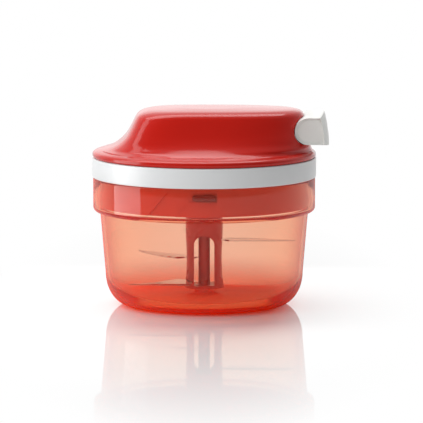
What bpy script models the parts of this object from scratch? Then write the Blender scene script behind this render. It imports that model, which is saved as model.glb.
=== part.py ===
"""Pull-cord food chopper: a clear bowl with a bladed post, and a cover that holds the cord drum.

Metres, +Z up. The origin is the middle of the bowl's flat base, on the axis that the blades turn about.
The pull grip is on +X. The cover is shown locked on the bowl, with the cord wound in.
"""

import math

import bmesh
import bpy
from mathutils import Matrix, Vector

MM = 0.001

# Clearances
SEAT_GAP = 0.3 * MM          # between two pieces that seat on each other
RUN_GAP = 0.4 * MM           # between a shaft and its bush
HOLE_GAP = 0.3 * MM          # around a screw's or pin's shank

# Bowl
FOOT_R = 42.0 * MM
CORNER_R = 55.2 * MM         # radius at the top of the rounded corner
CORNER_H = 18.0 * MM
WALL_TOP_R = 58.1 * MM
BOWL_WALL = 2.2 * MM
FLOOR_T = 3.5 * MM
BAND_LOW_Z = 52.6 * MM
BAND_R = 62.0 * MM
BAND_WALL = 2.0 * MM
BAND_ROUND = 2.6 * MM
RIM_Z = 71.5 * MM
BOSS_TOP_Z = 7.8 * MM
BOSS_R = 5.2 * MM
COVER_Z = RIM_Z + SEAT_GAP   # where the cover sits; the cover's heights are counted from here

# Bayonet
SKIRT_GAP = 1.4 * MM         # from the band's inside to the cover's skirt
TRACK_DEPTH = 1.5 * MM
LOCKS = 3
LUG_WIDTH = 13.0 * MM
LUG_H = 3.4 * MM
LUG_LOW_Z = COVER_Z - 7.0 * MM
LUG_HIGH_Z = LUG_LOW_Z + LUG_H
LUG_REACH = SKIRT_GAP + TRACK_DEPTH - SEAT_GAP
TRACK_GAP = 0.6 * MM         # above and below a lug in its track
LOCK_TURN = math.radians(13.0)
FIRST_LUG = math.radians(-90.0)

# Pivot pin
PIN_R = 1.7 * MM
PIN_FOOT_Z = 1.5 * MM
PIN_TOP_Z = 22.0 * MM

# Blade post
POST_LOW_Z = BOSS_TOP_Z + SEAT_GAP
POST_SHOULDER_Z = COVER_Z - 5.4 * MM
POST_FOOT_R = 11.0 * MM
POST_WAIST_R = 9.8 * MM
POST_R = 10.4 * MM
POST_WALL = 2.1 * MM
COLUMN_R = 3.2 * MM
WINDOW_WIDTH = 11.4 * MM
WINDOW_LOW_Z = 10.8 * MM
WINDOW_TOP_Z = 39.4 * MM
HEAD_CORE_R = 4.6 * MM
HEAD_R = 7.8 * MM
HEAD_TOP_Z = COVER_Z + 2.6 * MM
DOGS = 3
DOG_WIDTH = math.radians(24.0)
DOG_FREE = math.radians(20.0)   # free turn before the driver meets the post

# Blades: height, direction, reach, and the twist at the root
BLADE_T = 0.8 * MM
BLADE_ROOT_R = 6.0 * MM
BLADE_TANG_WIDTH = 6.0 * MM
BLADE_NECK_R = POST_FOOT_R + 0.6 * MM
BLADE_SHOULDER_R = BLADE_NECK_R + 2.4 * MM
BLADE_BACK_Y = -5.5 * MM
BLADE_WIDTH = 12.5 * MM
EDGE_WAVES = 6
WAVE_DEPTH = 0.4 * MM
GRIND_WIDTH = 1.6 * MM
UNTWIST_R = 32.0 * MM
UPPER_BLADE = {"z": 36.2 * MM, "turn": 0.0, "reach": 50.5 * MM, "pitch": 0.0}
MIDDLE_BLADE = {"z": 25.4 * MM, "turn": math.radians(145.0), "reach": 50.0 * MM, "pitch": 0.0}
LOWER_BLADE = {"z": 13.2 * MM, "turn": math.radians(215.0), "reach": 46.5 * MM, "pitch": math.radians(18.0)}

# Base plate, with its skirt
SKIRT_R = BAND_R - BAND_WALL - SKIRT_GAP
SKIRT_T = 2.7 * MM
SKIRT_FOOT_GAP = 1.0 * MM    # above the shelf where the band meets the bowl's wall
SKIRT_LOW_Z = BAND_LOW_Z + BOWL_WALL + SKIRT_FOOT_GAP
TRACK_RAMP = math.radians(48.0)
TRACK_STEP = 5.0 * MM        # between the track's sections round the skirt
PLATE_LOW_Z = COVER_Z - 3.8 * MM
PLATE_T = 2.2 * MM
LIP_REACH = 1.4 * MM         # how far the lip stands out over the bowl's rim
LIP_R = SKIRT_R + LIP_REACH
LIP_T = 2.2 * MM
LIP_TOP_Z = COVER_Z + LIP_T
COLLAR_WALL = 2.0 * MM
COLLAR_DROP = 1.8 * MM       # below the plate
COLLAR_H = 9.8 * MM
COLLAR_LOW_Z = PLATE_LOW_Z - COLLAR_DROP
COLLAR_TOP_Z = COLLAR_LOW_Z + COLLAR_H

# Trim ring
TRIM_OVERHANG = 0.5 * MM     # past the bowl's band
TRIM_R = BAND_R + TRIM_OVERHANG
TRIM_IN_R = LIP_R + SEAT_GAP
TRIM_H = 11.0 * MM
TRIM_TOP_Z = COVER_Z + TRIM_H
TRIM_LIP_T = 1.4 * MM
TRIM_LIP_REACH = 1.4 * MM
TRIM_LIP_R = TRIM_IN_R - TRIM_LIP_REACH
TRIM_ROUND = 0.5 * MM

# Top cover: each level of its skin has a height above the trim ring, its reach to -X, its reach to +X, its
# half width, and how square each end is. The rim, the hump's foot and its nose are counted in from the trim
# ring.
COVER_WALL = 2.2 * MM
SPIGOT_R = TRIM_IN_R - RUN_GAP
RIM_LEVELS = [
    (0.3 * MM, TRIM_R - 0.6 * MM, TRIM_R - 0.6 * MM, TRIM_R - 0.6 * MM, 2.0, 2.0),
    (1.2 * MM, TRIM_R - 0.1 * MM, TRIM_R - 0.1 * MM, TRIM_R - 0.1 * MM, 2.0, 2.0),
    (2.3 * MM, TRIM_R - 0.2 * MM, TRIM_R - 0.2 * MM, TRIM_R - 0.2 * MM, 2.0, 2.0),
    (3.3 * MM, TRIM_R - 1.1 * MM, TRIM_R - 0.9 * MM, TRIM_R - 1.3 * MM, 2.0, 2.0),
    (3.9 * MM, TRIM_R - 2.9 * MM, TRIM_R - 1.9 * MM, TRIM_R - 3.3 * MM, 2.0, 2.0),
]
HUMP_LEVELS = [
    (4.3 * MM, TRIM_R - 4.7 * MM, TRIM_R - 2.2 * MM, TRIM_R - 15.0 * MM, 3.0, 2.1),
    (5.4 * MM, TRIM_R - 8.9 * MM, TRIM_R - 2.6 * MM, 45.2 * MM, 3.0, 2.2),
    (6.8 * MM, TRIM_R - 12.1 * MM, TRIM_R - 3.0 * MM, 42.8 * MM, 3.3, 2.4),
    (9.4 * MM, 46.7 * MM, TRIM_R - 3.6 * MM, 39.4 * MM, 3.8, 2.5),
    (13.2 * MM, 43.2 * MM, TRIM_R - 4.4 * MM, 36.0 * MM, 4.2, 2.6),
    (17.7 * MM, 40.6 * MM, TRIM_R - 5.3 * MM, 32.8 * MM, 4.2, 2.6),
    (22.2 * MM, 38.4 * MM, TRIM_R - 6.3 * MM, 29.9 * MM, 4.0, 2.6),
    (24.6 * MM, 36.4 * MM, TRIM_R - 7.3 * MM, 28.0 * MM, 3.8, 2.6),
    (26.2 * MM, 32.8 * MM, TRIM_R - 9.5 * MM, 25.2 * MM, 3.4, 2.5),
    (27.1 * MM, 27.0 * MM, TRIM_R - 15.5 * MM, 20.5 * MM, 3.0, 2.4),
    (27.7 * MM, 14.0 * MM, TRIM_R - 36.5 * MM, 11.0 * MM, 2.4, 2.2),
]
FOOT_LIMIT = (TRIM_R - 4.7 * MM, TRIM_R - 2.2 * MM, TRIM_R - 4.7 * MM, 2.0, 2.0)
INNER_LEVELS = [HUMP_LEVELS[i] for i in (0, 1, 2, 3, 5, 6, 8, 10)]
RAYS = 54
BASE_BOSS_TOP_Z = TRIM_TOP_Z + 5.2 * MM
CEILING_BOSS_TOP_Z = TRIM_TOP_Z + 27.2 * MM

# Scoop in the cover's nose, and the pull grip in it
SCOOP_DEPTH = 12.7 * MM      # in from the trim ring
SCOOP_X = TRIM_R - SCOOP_DEPTH
SCOOP_R = 8.0 * MM
SCOOP_WALL = 2.0 * MM
CORD_Z = COVER_Z + 27.2 * MM
SCOOP_Z = CORD_Z - 0.4 * MM
GRIP_GAP = 1.4 * MM          # from the scoop to the grip's back
GRIP_LENGTH = 17.2 * MM
GRIP_BACK_X = SCOOP_X + GRIP_GAP
GRIP_FACE_X = GRIP_BACK_X + GRIP_LENGTH
GRIP_BOW = 3.2 * MM          # how far the face curves back at the grip's ends
GRIP_HALF_WIDTH = 22.0 * MM
GRIP_BODY_HALF_H = 7.2 * MM
GRIP_LIP_TOP = 9.8 * MM      # above and below the cord, in the middle and at the ends
GRIP_LIP_LOW = 9.0 * MM
GRIP_LIP_END = 7.4 * MM
GRIP_NECK_X = GRIP_FACE_X - 7.4 * MM
GRIP_LIP_T = 2.2 * MM
GRIP_LEAN = math.radians(8.4)
KNOT_R = 2.6 * MM
KNOT_POCKET_R = 3.6 * MM
KNOT_POCKET_DEPTH = 6.9 * MM
KNOT_POCKET_X = GRIP_FACE_X - KNOT_POCKET_DEPTH
CORD_BEND = 7.0 * MM         # length over which the cord bends into the eyelet

# Cord and drum
CORD_R = 1.0 * MM
CORE_R = 15.5 * MM
WINDING_R = CORE_R + SEAT_GAP + CORD_R
WINDING_TURNS = 3
WINDING_PITCH = 2.6 * MM
WINDING_TOP_Z = COVER_Z + 29.8 * MM
DRUM_TOP_Z = COVER_Z + 33.2 * MM
DRUM_FLANGE_T = 1.5 * MM
DRUM_FLANGE_R = 21.6 * MM
DRUM_LOW_FLANGE_Z = COVER_Z + 18.6 * MM
DRUM_RIM_WALL = 2.0 * MM
HUB_R = 6.5 * MM
HUB_FOOT_R = 9.8 * MM
HUB_FOOT_TOP_Z = COVER_Z + 12.9 * MM
HUB_LOW_Z = COVER_Z + 10.2 * MM
HUB_RECESS_R = 5.2 * MM
HUB_RECESS_TOP_Z = COVER_Z + 13.4 * MM

# Axle and its washer and screw
AXLE_R = 2.1 * MM
AXLE_LOW_Z = COVER_Z + 13.2 * MM
AXLE_TOP_Z = COVER_Z + 35.8 * MM
WASHER_R = 4.7 * MM
WASHER_T = 0.7 * MM
AXLE_SCREW_HEAD_R = 3.1 * MM
AXLE_SCREW_HEAD_H = 1.4 * MM
AXLE_SCREW_R = 1.0 * MM
AXLE_SCREW_LENGTH = 8.0 * MM

# Recoil spring and its housing
HOUSING_R = 22.0 * MM
HOUSING_WALL = 1.4 * MM
HOUSING_LOW_Z = COVER_Z + 11.2 * MM
HOUSING_TOP_Z = COVER_Z + 18.1 * MM
HOUSING_EAR_R = 4.2 * MM
HOUSING_EAR_T = 1.8 * MM
HOUSING_EAR_TOP_Z = HOUSING_TOP_Z - 0.5 * MM
HOUSING_SCREW_CIRCLE = 26.0 * MM
HOUSING_SCREWS = (math.radians(60.0), math.radians(180.0), math.radians(300.0))
SPRING_TURNS = 5
SPRING_STRIP = 0.5 * MM
SPRING_LOW_Z = COVER_Z + 13.1 * MM
SPRING_HEIGHT = 4.6 * MM

# One-way clutch
TEETH = 8
TOOTH_H = 1.5 * MM
HUB_TOOTH_H = 1.3 * MM
TOOTH_FLAT = 2.0             # degrees, where a tooth's slope starts
TOOTH_LAND = 0.02 * MM       # how far the valleys stand above the root
DRIVER_STEEP = (-1.0, 1.0)   # degrees round from a tooth's start
HUB_STEEP = (-6.0, -4.0)
TOOTH_IN_R = 6.0 * MM
TOOTH_OUT_R = 9.4 * MM
DRIVER_R = 9.7 * MM
DRIVER_FLANGE_R = 12.6 * MM
DRIVER_FLANGE_Z = COVER_Z + 7.2 * MM
DRIVER_FLANGE_T = 1.2 * MM
DRIVER_LOW_Z = COVER_Z - 3.0 * MM
SOCKET_TOP_Z = COVER_Z + 5.4 * MM
BUSH_WALL = 1.9 * MM
BUSH_FLANGE_R = 13.6 * MM
BUSH_FLANGE_T = 0.7 * MM
WAVE_T = 0.3 * MM
WAVES = 3

# Screws
BASE_SCREW_INSET = 8.9 * MM   # from the skirt's inside to a screw's axis
BASE_SCREW_CIRCLE = SKIRT_R - SKIRT_T - BASE_SCREW_INSET
BASE_SCREWS = {
    "base_screw_front_left": math.radians(225.0),
    "base_screw_front_right": math.radians(315.0),
    "base_screw_back_right": math.radians(45.0),
    "base_screw_back_left": math.radians(135.0),
}
SCREW_R = 1.5 * MM
SCREW_HEAD_R = 3.0 * MM
SCREW_HEAD_H = 1.8 * MM
BASE_SCREW_LENGTH = 12.0 * MM
HOUSING_SCREW_R = 1.2 * MM
HOUSING_SCREW_HEAD_R = 2.6 * MM
HOUSING_SCREW_HEAD_H = 1.5 * MM
HOUSING_SCREW_LENGTH = 11.0 * MM
SCREW_RECESS = 0.5           # drive recess, as a share of the head
BOSS_WALL = 2.1 * MM
SCREW_TIP_SPACE = 1.0 * MM

# Cord eyelet
EYELET_BORE_R = 1.6 * MM
EYELET_R = 2.8 * MM
EYELET_FLANGE_R = 4.0 * MM
EYELET_FLANGE_T = 0.7 * MM
EYELET_LENGTH = 4.2 * MM

LARGE_STEPS = 48
MEDIUM_STEPS = 30
SMALL_STEPS = 16
SCREW_STEPS = 10
LOOP_POINTS = 24             # for each turn of the wound cord and the springs
OVERSHOOT = 2.0 * MM         # how far a cutter runs past the faces it cuts

for old in list(bpy.data.objects):
    bpy.data.objects.remove(old)
chopper = bpy.data.collections.new("Food chopper")
cutters = bpy.data.collections.new("Cutters")
bpy.context.scene.collection.children.link(chopper)
bpy.context.scene.collection.children.link(cutters)


def material(name, colour, roughness, metallic=0.0, alpha=1.0):
    made = bpy.data.materials.new(name)
    made.use_nodes = True
    shader = made.node_tree.nodes["Principled BSDF"]
    shader.inputs["Base Color"].default_value = (*colour, 1.0)
    shader.inputs["Roughness"].default_value = roughness
    shader.inputs["Metallic"].default_value = metallic
    shader.inputs["Alpha"].default_value = alpha
    made.diffuse_color = (*colour, alpha)
    return made


CLEAR_CORAL = material("clear coral plastic", (0.90, 0.16, 0.06), 0.08, alpha=0.45)
RED_PLASTIC = material("glossy red plastic", (0.55, 0.01, 0.01), 0.18)
WHITE_PLASTIC = material("white plastic", (0.86, 0.86, 0.84), 0.35)
GRIP_PLASTIC = material("warm white plastic", (0.80, 0.78, 0.72), 0.40)
INNER_PLASTIC = material("natural acetal", (0.78, 0.77, 0.72), 0.45)
STEEL = material("stainless steel", (0.62, 0.62, 0.64), 0.25, metallic=1.0)
BRONZE = material("sintered bronze", (0.52, 0.33, 0.16), 0.40, metallic=1.0)
CORD = material("braided nylon cord", (0.85, 0.84, 0.80), 0.80)


def pivot(name, place=(0.0, 0.0, 0.0)):
    """An empty on a joint's axis, which carries the pieces of one moving body."""
    empty = bpy.data.objects.new(name, None)
    empty.location = place
    empty.empty_display_size = 0.01
    chopper.objects.link(empty)
    return empty


def put(obj, carrier, finish):
    """Keep a finished piece in the chopper's collection, on its carrier."""
    for owner in list(obj.users_collection):
        owner.objects.unlink(obj)
    chopper.objects.link(obj)
    obj.parent = carrier
    if carrier is not None:
        obj.location = Vector(obj.location) - Vector(carrier.location)
    obj.data.materials.clear()
    obj.data.materials.append(finish)
    return obj


def keep_as_cutter(obj):
    for owner in list(obj.users_collection):
        owner.objects.unlink(obj)
    cutters.objects.link(obj)
    obj.hide_render = True
    obj.display_type = "WIRE"
    return obj


def combine(obj, tool, operation):
    """A live Boolean of one object with another, which becomes a cutter."""
    keep_as_cutter(tool)
    step = obj.modifiers.new(operation.lower(), "BOOLEAN")
    step.operation = operation
    step.solver = "EXACT"
    step.object = tool
    return obj


def cut(obj, tool):
    return combine(obj, tool, "DIFFERENCE")


def join(obj, tool):
    return combine(obj, tool, "UNION")


def shade(mesh, angle=math.radians(35.0)):
    mesh.shade_smooth()
    mesh.set_sharp_from_angle(angle=angle)


def turned(name, profile, steps, closed=True, z=0.0, place=(0.0, 0.0)):
    """Turn a profile of (radius, z) about a vertical axis. It runs down its outer side; z is its object's height."""
    mesh = bpy.data.meshes.new(name)
    points = [(r, 0.0, height - z) for r, height in profile]
    edges = [(i, i + 1) for i in range(len(points) - 1)]
    if closed:
        edges.append((len(points) - 1, 0))
    mesh.from_pydata(points, edges, [])
    obj = bpy.data.objects.new(name, mesh)
    obj.location = (place[0], place[1], z)
    chopper.objects.link(obj)
    screw = obj.modifiers.new("turn", "SCREW")
    screw.axis = "Z"
    screw.angle = math.tau
    screw.steps = steps
    screw.render_steps = steps
    screw.use_merge_vertices = True
    screw.merge_threshold = 0.00001
    screw.use_smooth_shade = True
    return obj


def cylinder(name, radius, low, high, steps=SMALL_STEPS, place=(0.0, 0.0)):
    bpy.ops.mesh.primitive_cylinder_add(
        vertices=steps, radius=radius, depth=high - low, location=(*place, (low + high) / 2.0)
    )
    obj = bpy.context.object
    obj.name = name
    return obj


def cylinder_x(name, radius, start, end, z, steps=SMALL_STEPS):
    """A cylinder along X."""
    bpy.ops.mesh.primitive_cylinder_add(
        vertices=steps, radius=radius, depth=end - start,
        location=((start + end) / 2.0, 0.0, z), rotation=(0.0, math.pi / 2.0, 0.0),
    )
    obj = bpy.context.object
    obj.name = name
    return obj


def loft(name, rings, closed=False):
    """A skin through rings of points, each ring counter-clockwise seen from the last one's side.

    An open loft gets a flat cap at each end. A closed one joins its last ring to its first.
    """
    form = bmesh.new()
    rows = [[form.verts.new(p) for p in ring] for ring in rings]
    count = len(rows[0])
    pairs = list(zip(rows, rows[1:]))
    if closed:
        pairs.append((rows[-1], rows[0]))
    for lower, upper in pairs:
        for i in range(count):
            j = (i + 1) % count
            form.faces.new((lower[i], lower[j], upper[j], upper[i]))
    if not closed:
        form.faces.new(list(reversed(rows[0])))
        form.faces.new(rows[-1])
    mesh = bpy.data.meshes.new(name)
    form.to_mesh(mesh)
    form.free()
    shade(mesh)
    obj = bpy.data.objects.new(name, mesh)
    chopper.objects.link(obj)
    return obj


def arc(centre, radius, start, end, steps):
    """Points on an arc, angles in degrees, as (across, up)."""
    points = []
    for i in range(steps + 1):
        a = math.radians(start + (end - start) * i / steps)
        points.append((centre[0] + radius * math.cos(a), centre[1] + radius * math.sin(a)))
    return points


def polar(radius, angle, z):
    return (radius * math.cos(angle), radius * math.sin(angle), z)


def ribbon(name, columns, closed=False):
    """A block bent round the axis. Each column is (angle, inner, outer, low, high), in order of angle."""
    rings = [
        [polar(outer, a, low), polar(inner, a, low), polar(inner, a, high), polar(outer, a, high)]
        for a, inner, outer, low, high in columns
    ]
    return loft(name, rings, closed=closed)


def lock_angles():
    return [FIRST_LUG + math.tau * i / LOCKS for i in range(LOCKS)]


def dog_angles():
    return [math.pi / 6.0 + math.tau * i / DOGS for i in range(DOGS)]


# Joints
lift_joint = pivot("lift joint")
cover_joint = pivot("cover joint")
drum_joint = pivot("drum joint")
blade_joint = pivot("blade joint")
driver_joint = pivot("clutch joint")
pull_joint = pivot("pull joint", (GRIP_BACK_X, 0.0, CORD_Z))
driver_joint.parent = drum_joint
drum_joint.parent = cover_joint
pull_joint.parent = cover_joint
cover_joint.parent = lift_joint


def bowl_wall_r(z):
    """Outer radius of the bowl's body at a height: an elliptical corner, then a straight taper."""
    if z < CORNER_H:
        across = CORNER_R - FOOT_R
        return FOOT_R + across * math.sqrt(1.0 - ((CORNER_H - z) / CORNER_H) ** 2)
    return CORNER_R + (WALL_TOP_R - CORNER_R) * (z - CORNER_H) / (BAND_LOW_Z - CORNER_H)


def make_bowl():
    band_in = BAND_R - BAND_WALL
    shelf_z = BAND_LOW_Z + BOWL_WALL
    pin_hole_r = PIN_R + HOLE_GAP
    corner = [(1.0 - math.cos(math.radians(a))) * CORNER_H for a in (0, 22, 40, 56, 72, 90)]
    outside = [(bowl_wall_r(z), z) for z in reversed(corner)]
    floor_scale = (CORNER_H - FLOOR_T) / CORNER_H
    inside = [(bowl_wall_r(z) - BOWL_WALL, FLOOR_T + z * floor_scale) for z in corner]
    profile = [
        (0.0, PIN_FOOT_Z - SEAT_GAP),
        (pin_hole_r, PIN_FOOT_Z - SEAT_GAP),
        (pin_hole_r, BOSS_TOP_Z),
        (BOSS_R, BOSS_TOP_Z),
        (BOSS_R + 1.4 * MM, FLOOR_T),
        *inside,
        (WALL_TOP_R - BOWL_WALL, BAND_LOW_Z),
        (WALL_TOP_R - BOWL_WALL + 0.5 * MM, shelf_z - 0.3 * MM),
        (band_in - 0.6 * MM, shelf_z),
        (band_in, shelf_z + 0.6 * MM),
        (band_in, RIM_Z - 0.4 * MM),
        (band_in + 0.4 * MM, RIM_Z),
        (BAND_R - 0.4 * MM, RIM_Z),
        (BAND_R, RIM_Z - 0.4 * MM),
        *arc((BAND_R - BAND_ROUND, BAND_LOW_Z + BAND_ROUND), BAND_ROUND, 0, -90, 4),
        (WALL_TOP_R + 0.3 * MM, BAND_LOW_Z),
        (WALL_TOP_R, BAND_LOW_Z - 0.3 * MM),
        *outside,
        (0.0, 0.0),
    ]
    bowl = turned("bowl", profile, LARGE_STEPS, closed=False)
    half = LUG_WIDTH / 2.0 / band_in
    for angle in lock_angles():
        inner, outer = band_in - LUG_REACH, band_in + BAND_WALL / 2.0
        columns = [(angle + half * t, inner, outer, LUG_LOW_Z, LUG_HIGH_Z) for t in (-1.0, -0.5, 0.0, 0.5, 1.0)]
        join(bowl, ribbon("bowl lug", columns))
    return put(bowl, None, CLEAR_CORAL)


def make_pivot_pin():
    profile = [
        (0.0, PIN_TOP_Z),
        (PIN_R * 0.4, PIN_TOP_Z),
        (PIN_R, PIN_TOP_Z - PIN_R),
        (PIN_R, PIN_FOOT_Z),
        (0.0, PIN_FOOT_Z),
    ]
    return put(turned("pivot_pin", profile, SMALL_STEPS, closed=False), None, STEEL)


def blade_outline(blade, wavy):
    """Half a leaf: a straight back, and an edge that sweeps in to the point. Its waves are the serration."""
    half_tang = BLADE_TANG_WIDTH / 2.0
    outline = [(BLADE_ROOT_R, -half_tang), (BLADE_NECK_R, -half_tang), (BLADE_SHOULDER_R, BLADE_BACK_Y)]
    outline.append((blade["reach"], BLADE_BACK_Y))
    span = blade["reach"] - BLADE_SHOULDER_R
    steps = EDGE_WAVES * 4
    for i in range(1, steps + 1):
        t = 1.0 - i / steps
        wave = WAVE_DEPTH * math.sin(math.tau * EDGE_WAVES * t) if wavy else 0.0
        y = BLADE_BACK_Y + BLADE_WIDTH * (1.0 - t ** 1.8) + wave
        outline.append((BLADE_SHOULDER_R + span * t, y))
    outline.extend([(BLADE_NECK_R, half_tang), (BLADE_ROOT_R, half_tang)])
    return outline


def make_blade(name, blade, wavy=True):
    """One ground steel blade, its tang through the post's wall. The cutting edge leads, towards +turn."""
    rings = []
    for level, ground in ((-0.5, 0.0), (-0.2, 0.0), (0.5, GRIND_WIDTH)):
        ring = []
        for x, y in blade_outline(blade, wavy):
            in_y = ground * min(1.0, max(0.0, y - BLADE_BACK_Y) / BLADE_WIDTH * 2.0) if x > BLADE_NECK_R else 0.0
            twist = blade["pitch"] * max(0.0, min(1.0, (UNTWIST_R - x) / (UNTWIST_R - BLADE_NECK_R)))
            ring.append((x, y - in_y, level * BLADE_T - math.tan(twist) * (y - in_y)))
        rings.append(ring)
    obj = loft(name, rings)
    obj.rotation_euler = (0.0, 0.0, blade["turn"])
    obj.location = (0.0, 0.0, blade["z"])
    return put(obj, blade_joint, STEEL)


def block(name, low, high):
    form = bmesh.new()
    size = Vector(high) - Vector(low)
    middle = (Vector(high) + Vector(low)) / 2.0
    bmesh.ops.create_cube(form, size=1.0, matrix=Matrix.Translation(middle) @ Matrix.Diagonal((*size, 1.0)))
    mesh = bpy.data.meshes.new(name)
    form.to_mesh(mesh)
    form.free()
    obj = bpy.data.objects.new(name, mesh)
    chopper.objects.link(obj)
    return obj


def blade_slot(blade):
    """The opening in the post's wall that a blade's tang passes through."""
    half_width = BLADE_TANG_WIDTH / 2.0 + SEAT_GAP
    half_height = BLADE_T / 2.0 + SEAT_GAP
    slot = block(
        "blade slot",
        (COLUMN_R + SEAT_GAP, -half_width, -half_height),
        (POST_FOOT_R + OVERSHOOT, half_width, half_height),
    )
    slot.rotation_euler = (-blade["pitch"], 0.0, blade["turn"])
    slot.location = (0.0, 0.0, blade["z"])
    return slot


def window_cutter(side):
    """A round-topped opening through the post's front or back wall."""
    half = WINDOW_WIDTH / 2.0
    outline = [(-half, WINDOW_LOW_Z), (half, WINDOW_LOW_Z), *arc((0.0, WINDOW_TOP_Z - half), half, 0, 180, 12)]
    near = side * (COLUMN_R + RUN_GAP)
    far = side * (POST_FOOT_R + OVERSHOOT)
    return loft("window cutter", [[(x, y, z) for x, z in outline] for y in (max(near, far), min(near, far))])


def make_post():
    bore_r = PIN_R + HOLE_GAP
    profile = [
        (0.0, HEAD_TOP_Z),
        (HEAD_CORE_R - 0.8 * MM, HEAD_TOP_Z),
        (HEAD_CORE_R, HEAD_TOP_Z - 0.8 * MM),
        (HEAD_CORE_R, POST_SHOULDER_Z),
        (POST_R - 0.8 * MM, POST_SHOULDER_Z),
        (POST_R, POST_SHOULDER_Z - 0.8 * MM),
        (POST_R, WINDOW_TOP_Z + 4.0 * MM),
        (POST_WAIST_R, (WINDOW_TOP_Z + WINDOW_LOW_Z) / 2.0),
        (POST_WAIST_R + 0.3 * MM, WINDOW_LOW_Z + 5.0 * MM),
        (POST_FOOT_R, WINDOW_LOW_Z),
        (POST_FOOT_R, POST_LOW_Z + 0.4 * MM),
        (POST_FOOT_R - 0.4 * MM, POST_LOW_Z),
        (bore_r, POST_LOW_Z),
        (bore_r, PIN_TOP_Z + SEAT_GAP + PIN_R),
        (0.0, PIN_TOP_Z + SEAT_GAP + 2.0 * PIN_R),
    ]
    post = turned("blade_post", profile, MEDIUM_STEPS, closed=False)
    hollow_r = POST_WAIST_R - POST_WALL
    hollow = [
        (COLUMN_R, WINDOW_TOP_Z + 1.0 * MM),
        (hollow_r, WINDOW_TOP_Z + 1.0 * MM),
        (hollow_r, WINDOW_LOW_Z),
        (COLUMN_R, WINDOW_LOW_Z),
    ]
    cut(post, turned("post hollow", hollow, MEDIUM_STEPS))
    for side in (-1.0, 1.0):
        cut(post, window_cutter(side))
    for blade in (UPPER_BLADE, MIDDLE_BLADE, LOWER_BLADE):
        cut(post, blade_slot(blade))
    half = DOG_WIDTH / 2.0
    low = POST_SHOULDER_Z - 0.5 * MM
    for angle in dog_angles():
        columns = [(angle + half * t, HEAD_CORE_R - 1.0 * MM, HEAD_R, low, HEAD_TOP_Z) for t in (-1.0, 0.0, 1.0)]
        join(post, ribbon("post dog", columns))
    return put(post, blade_joint, RED_PLASTIC)


def track_columns(lug_angle):
    """The bayonet track round the skirt: a level seat for the lug, then a ramp down to the skirt's edge."""
    rise = math.tan(TRACK_RAMP)
    top = LUG_HIGH_Z + TRACK_GAP
    sill = LUG_LOW_Z - TRACK_GAP
    bottom = SKIRT_LOW_Z - OVERSHOOT
    closed_end = LUG_WIDTH / 2.0 + TRACK_GAP
    far_corner = -LOCK_TURN * SKIRT_R - LUG_WIDTH / 2.0 - TRACK_GAP
    sill_end = far_corner - (top - sill) / rise + LUG_WIDTH + (LUG_HIGH_Z - LUG_LOW_Z) / rise + TRACK_GAP
    first = far_corner - (top - bottom) / rise
    entry_end = sill_end - (sill - bottom) / rise
    marks = sorted({first + 0.1 * MM, entry_end, far_corner, sill_end, closed_end})
    places = []
    for a, b in zip(marks, marks[1:]):
        pieces = max(1, math.ceil((b - a) / TRACK_STEP))
        places.extend(a + (b - a) * i / pieces for i in range(pieces))
    places.append(marks[-1])
    inner, outer = SKIRT_R - TRACK_DEPTH, SKIRT_R + OVERSHOOT
    columns = []
    for s in places:
        high = top - max(0.0, far_corner - s) * rise
        low = max(bottom, sill - max(0.0, sill_end - s) * rise)
        columns.append((lug_angle + s / SKIRT_R, inner, outer, low, high))
    return columns


def make_base_plate():
    skirt_in = SKIRT_R - SKIRT_T
    plate_top = PLATE_LOW_Z + PLATE_T
    collar_in = DRIVER_R + RUN_GAP + BUSH_WALL + SEAT_GAP
    profile = [
        (collar_in, COLLAR_TOP_Z),
        (collar_in + COLLAR_WALL, COLLAR_TOP_Z),
        (collar_in + COLLAR_WALL, plate_top),
        (skirt_in, plate_top),
        (skirt_in + 0.6 * MM, LIP_TOP_Z),
        (LIP_R, LIP_TOP_Z),
        (LIP_R, COVER_Z),
        (SKIRT_R, COVER_Z),
        (SKIRT_R, SKIRT_LOW_Z + 0.5 * MM),
        (SKIRT_R - 0.5 * MM, SKIRT_LOW_Z),
        (skirt_in + 0.5 * MM, SKIRT_LOW_Z),
        (skirt_in, SKIRT_LOW_Z + 0.5 * MM),
        (skirt_in, PLATE_LOW_Z - 1.5 * MM),
        (skirt_in - 1.5 * MM, PLATE_LOW_Z),
        (collar_in + COLLAR_WALL, PLATE_LOW_Z),
        (collar_in + COLLAR_WALL - 0.4 * MM, COLLAR_LOW_Z),
        (collar_in, COLLAR_LOW_Z),
    ]
    plate = turned("base_plate", profile, LARGE_STEPS)
    for angle in lock_angles():
        cut(plate, ribbon("bayonet track", track_columns(angle)))
    for angle in BASE_SCREWS.values():
        place = polar(BASE_SCREW_CIRCLE, angle, 0.0)[:2]
        cut(plate, cylinder("screw hole", SCREW_R + HOLE_GAP, PLATE_LOW_Z - OVERSHOOT, plate_top + OVERSHOOT, SCREW_STEPS, place))
    return put(plate, cover_joint, RED_PLASTIC)


def make_trim_ring():
    inner = TRIM_IN_R
    low = COVER_Z
    shelf_low = LIP_TOP_Z + SEAT_GAP
    profile = [
        (inner, low + TRIM_H),
        (TRIM_R - TRIM_ROUND, low + TRIM_H),
        (TRIM_R, low + TRIM_H - TRIM_ROUND),
        (TRIM_R, low + TRIM_ROUND),
        (TRIM_R - TRIM_ROUND, low),
        (inner, low),
        (inner, shelf_low),
        (TRIM_LIP_R, shelf_low),
        (TRIM_LIP_R, shelf_low + TRIM_LIP_T),
        (inner, shelf_low + TRIM_LIP_T),
    ]
    return put(turned("trim_ring", profile, LARGE_STEPS), cover_joint, WHITE_PLASTIC)


def outline_r(angle, left, right, half, square_left, square_right):
    """Radius of a level's outline: a squared ellipse, with its own reach and squareness at each end."""
    reach, square = (right, square_right) if math.cos(angle) > 0.0 else (left, square_left)
    total = abs(math.cos(angle) / reach) ** square + abs(math.sin(angle) / half) ** square
    return total ** (-1.0 / square)


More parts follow.
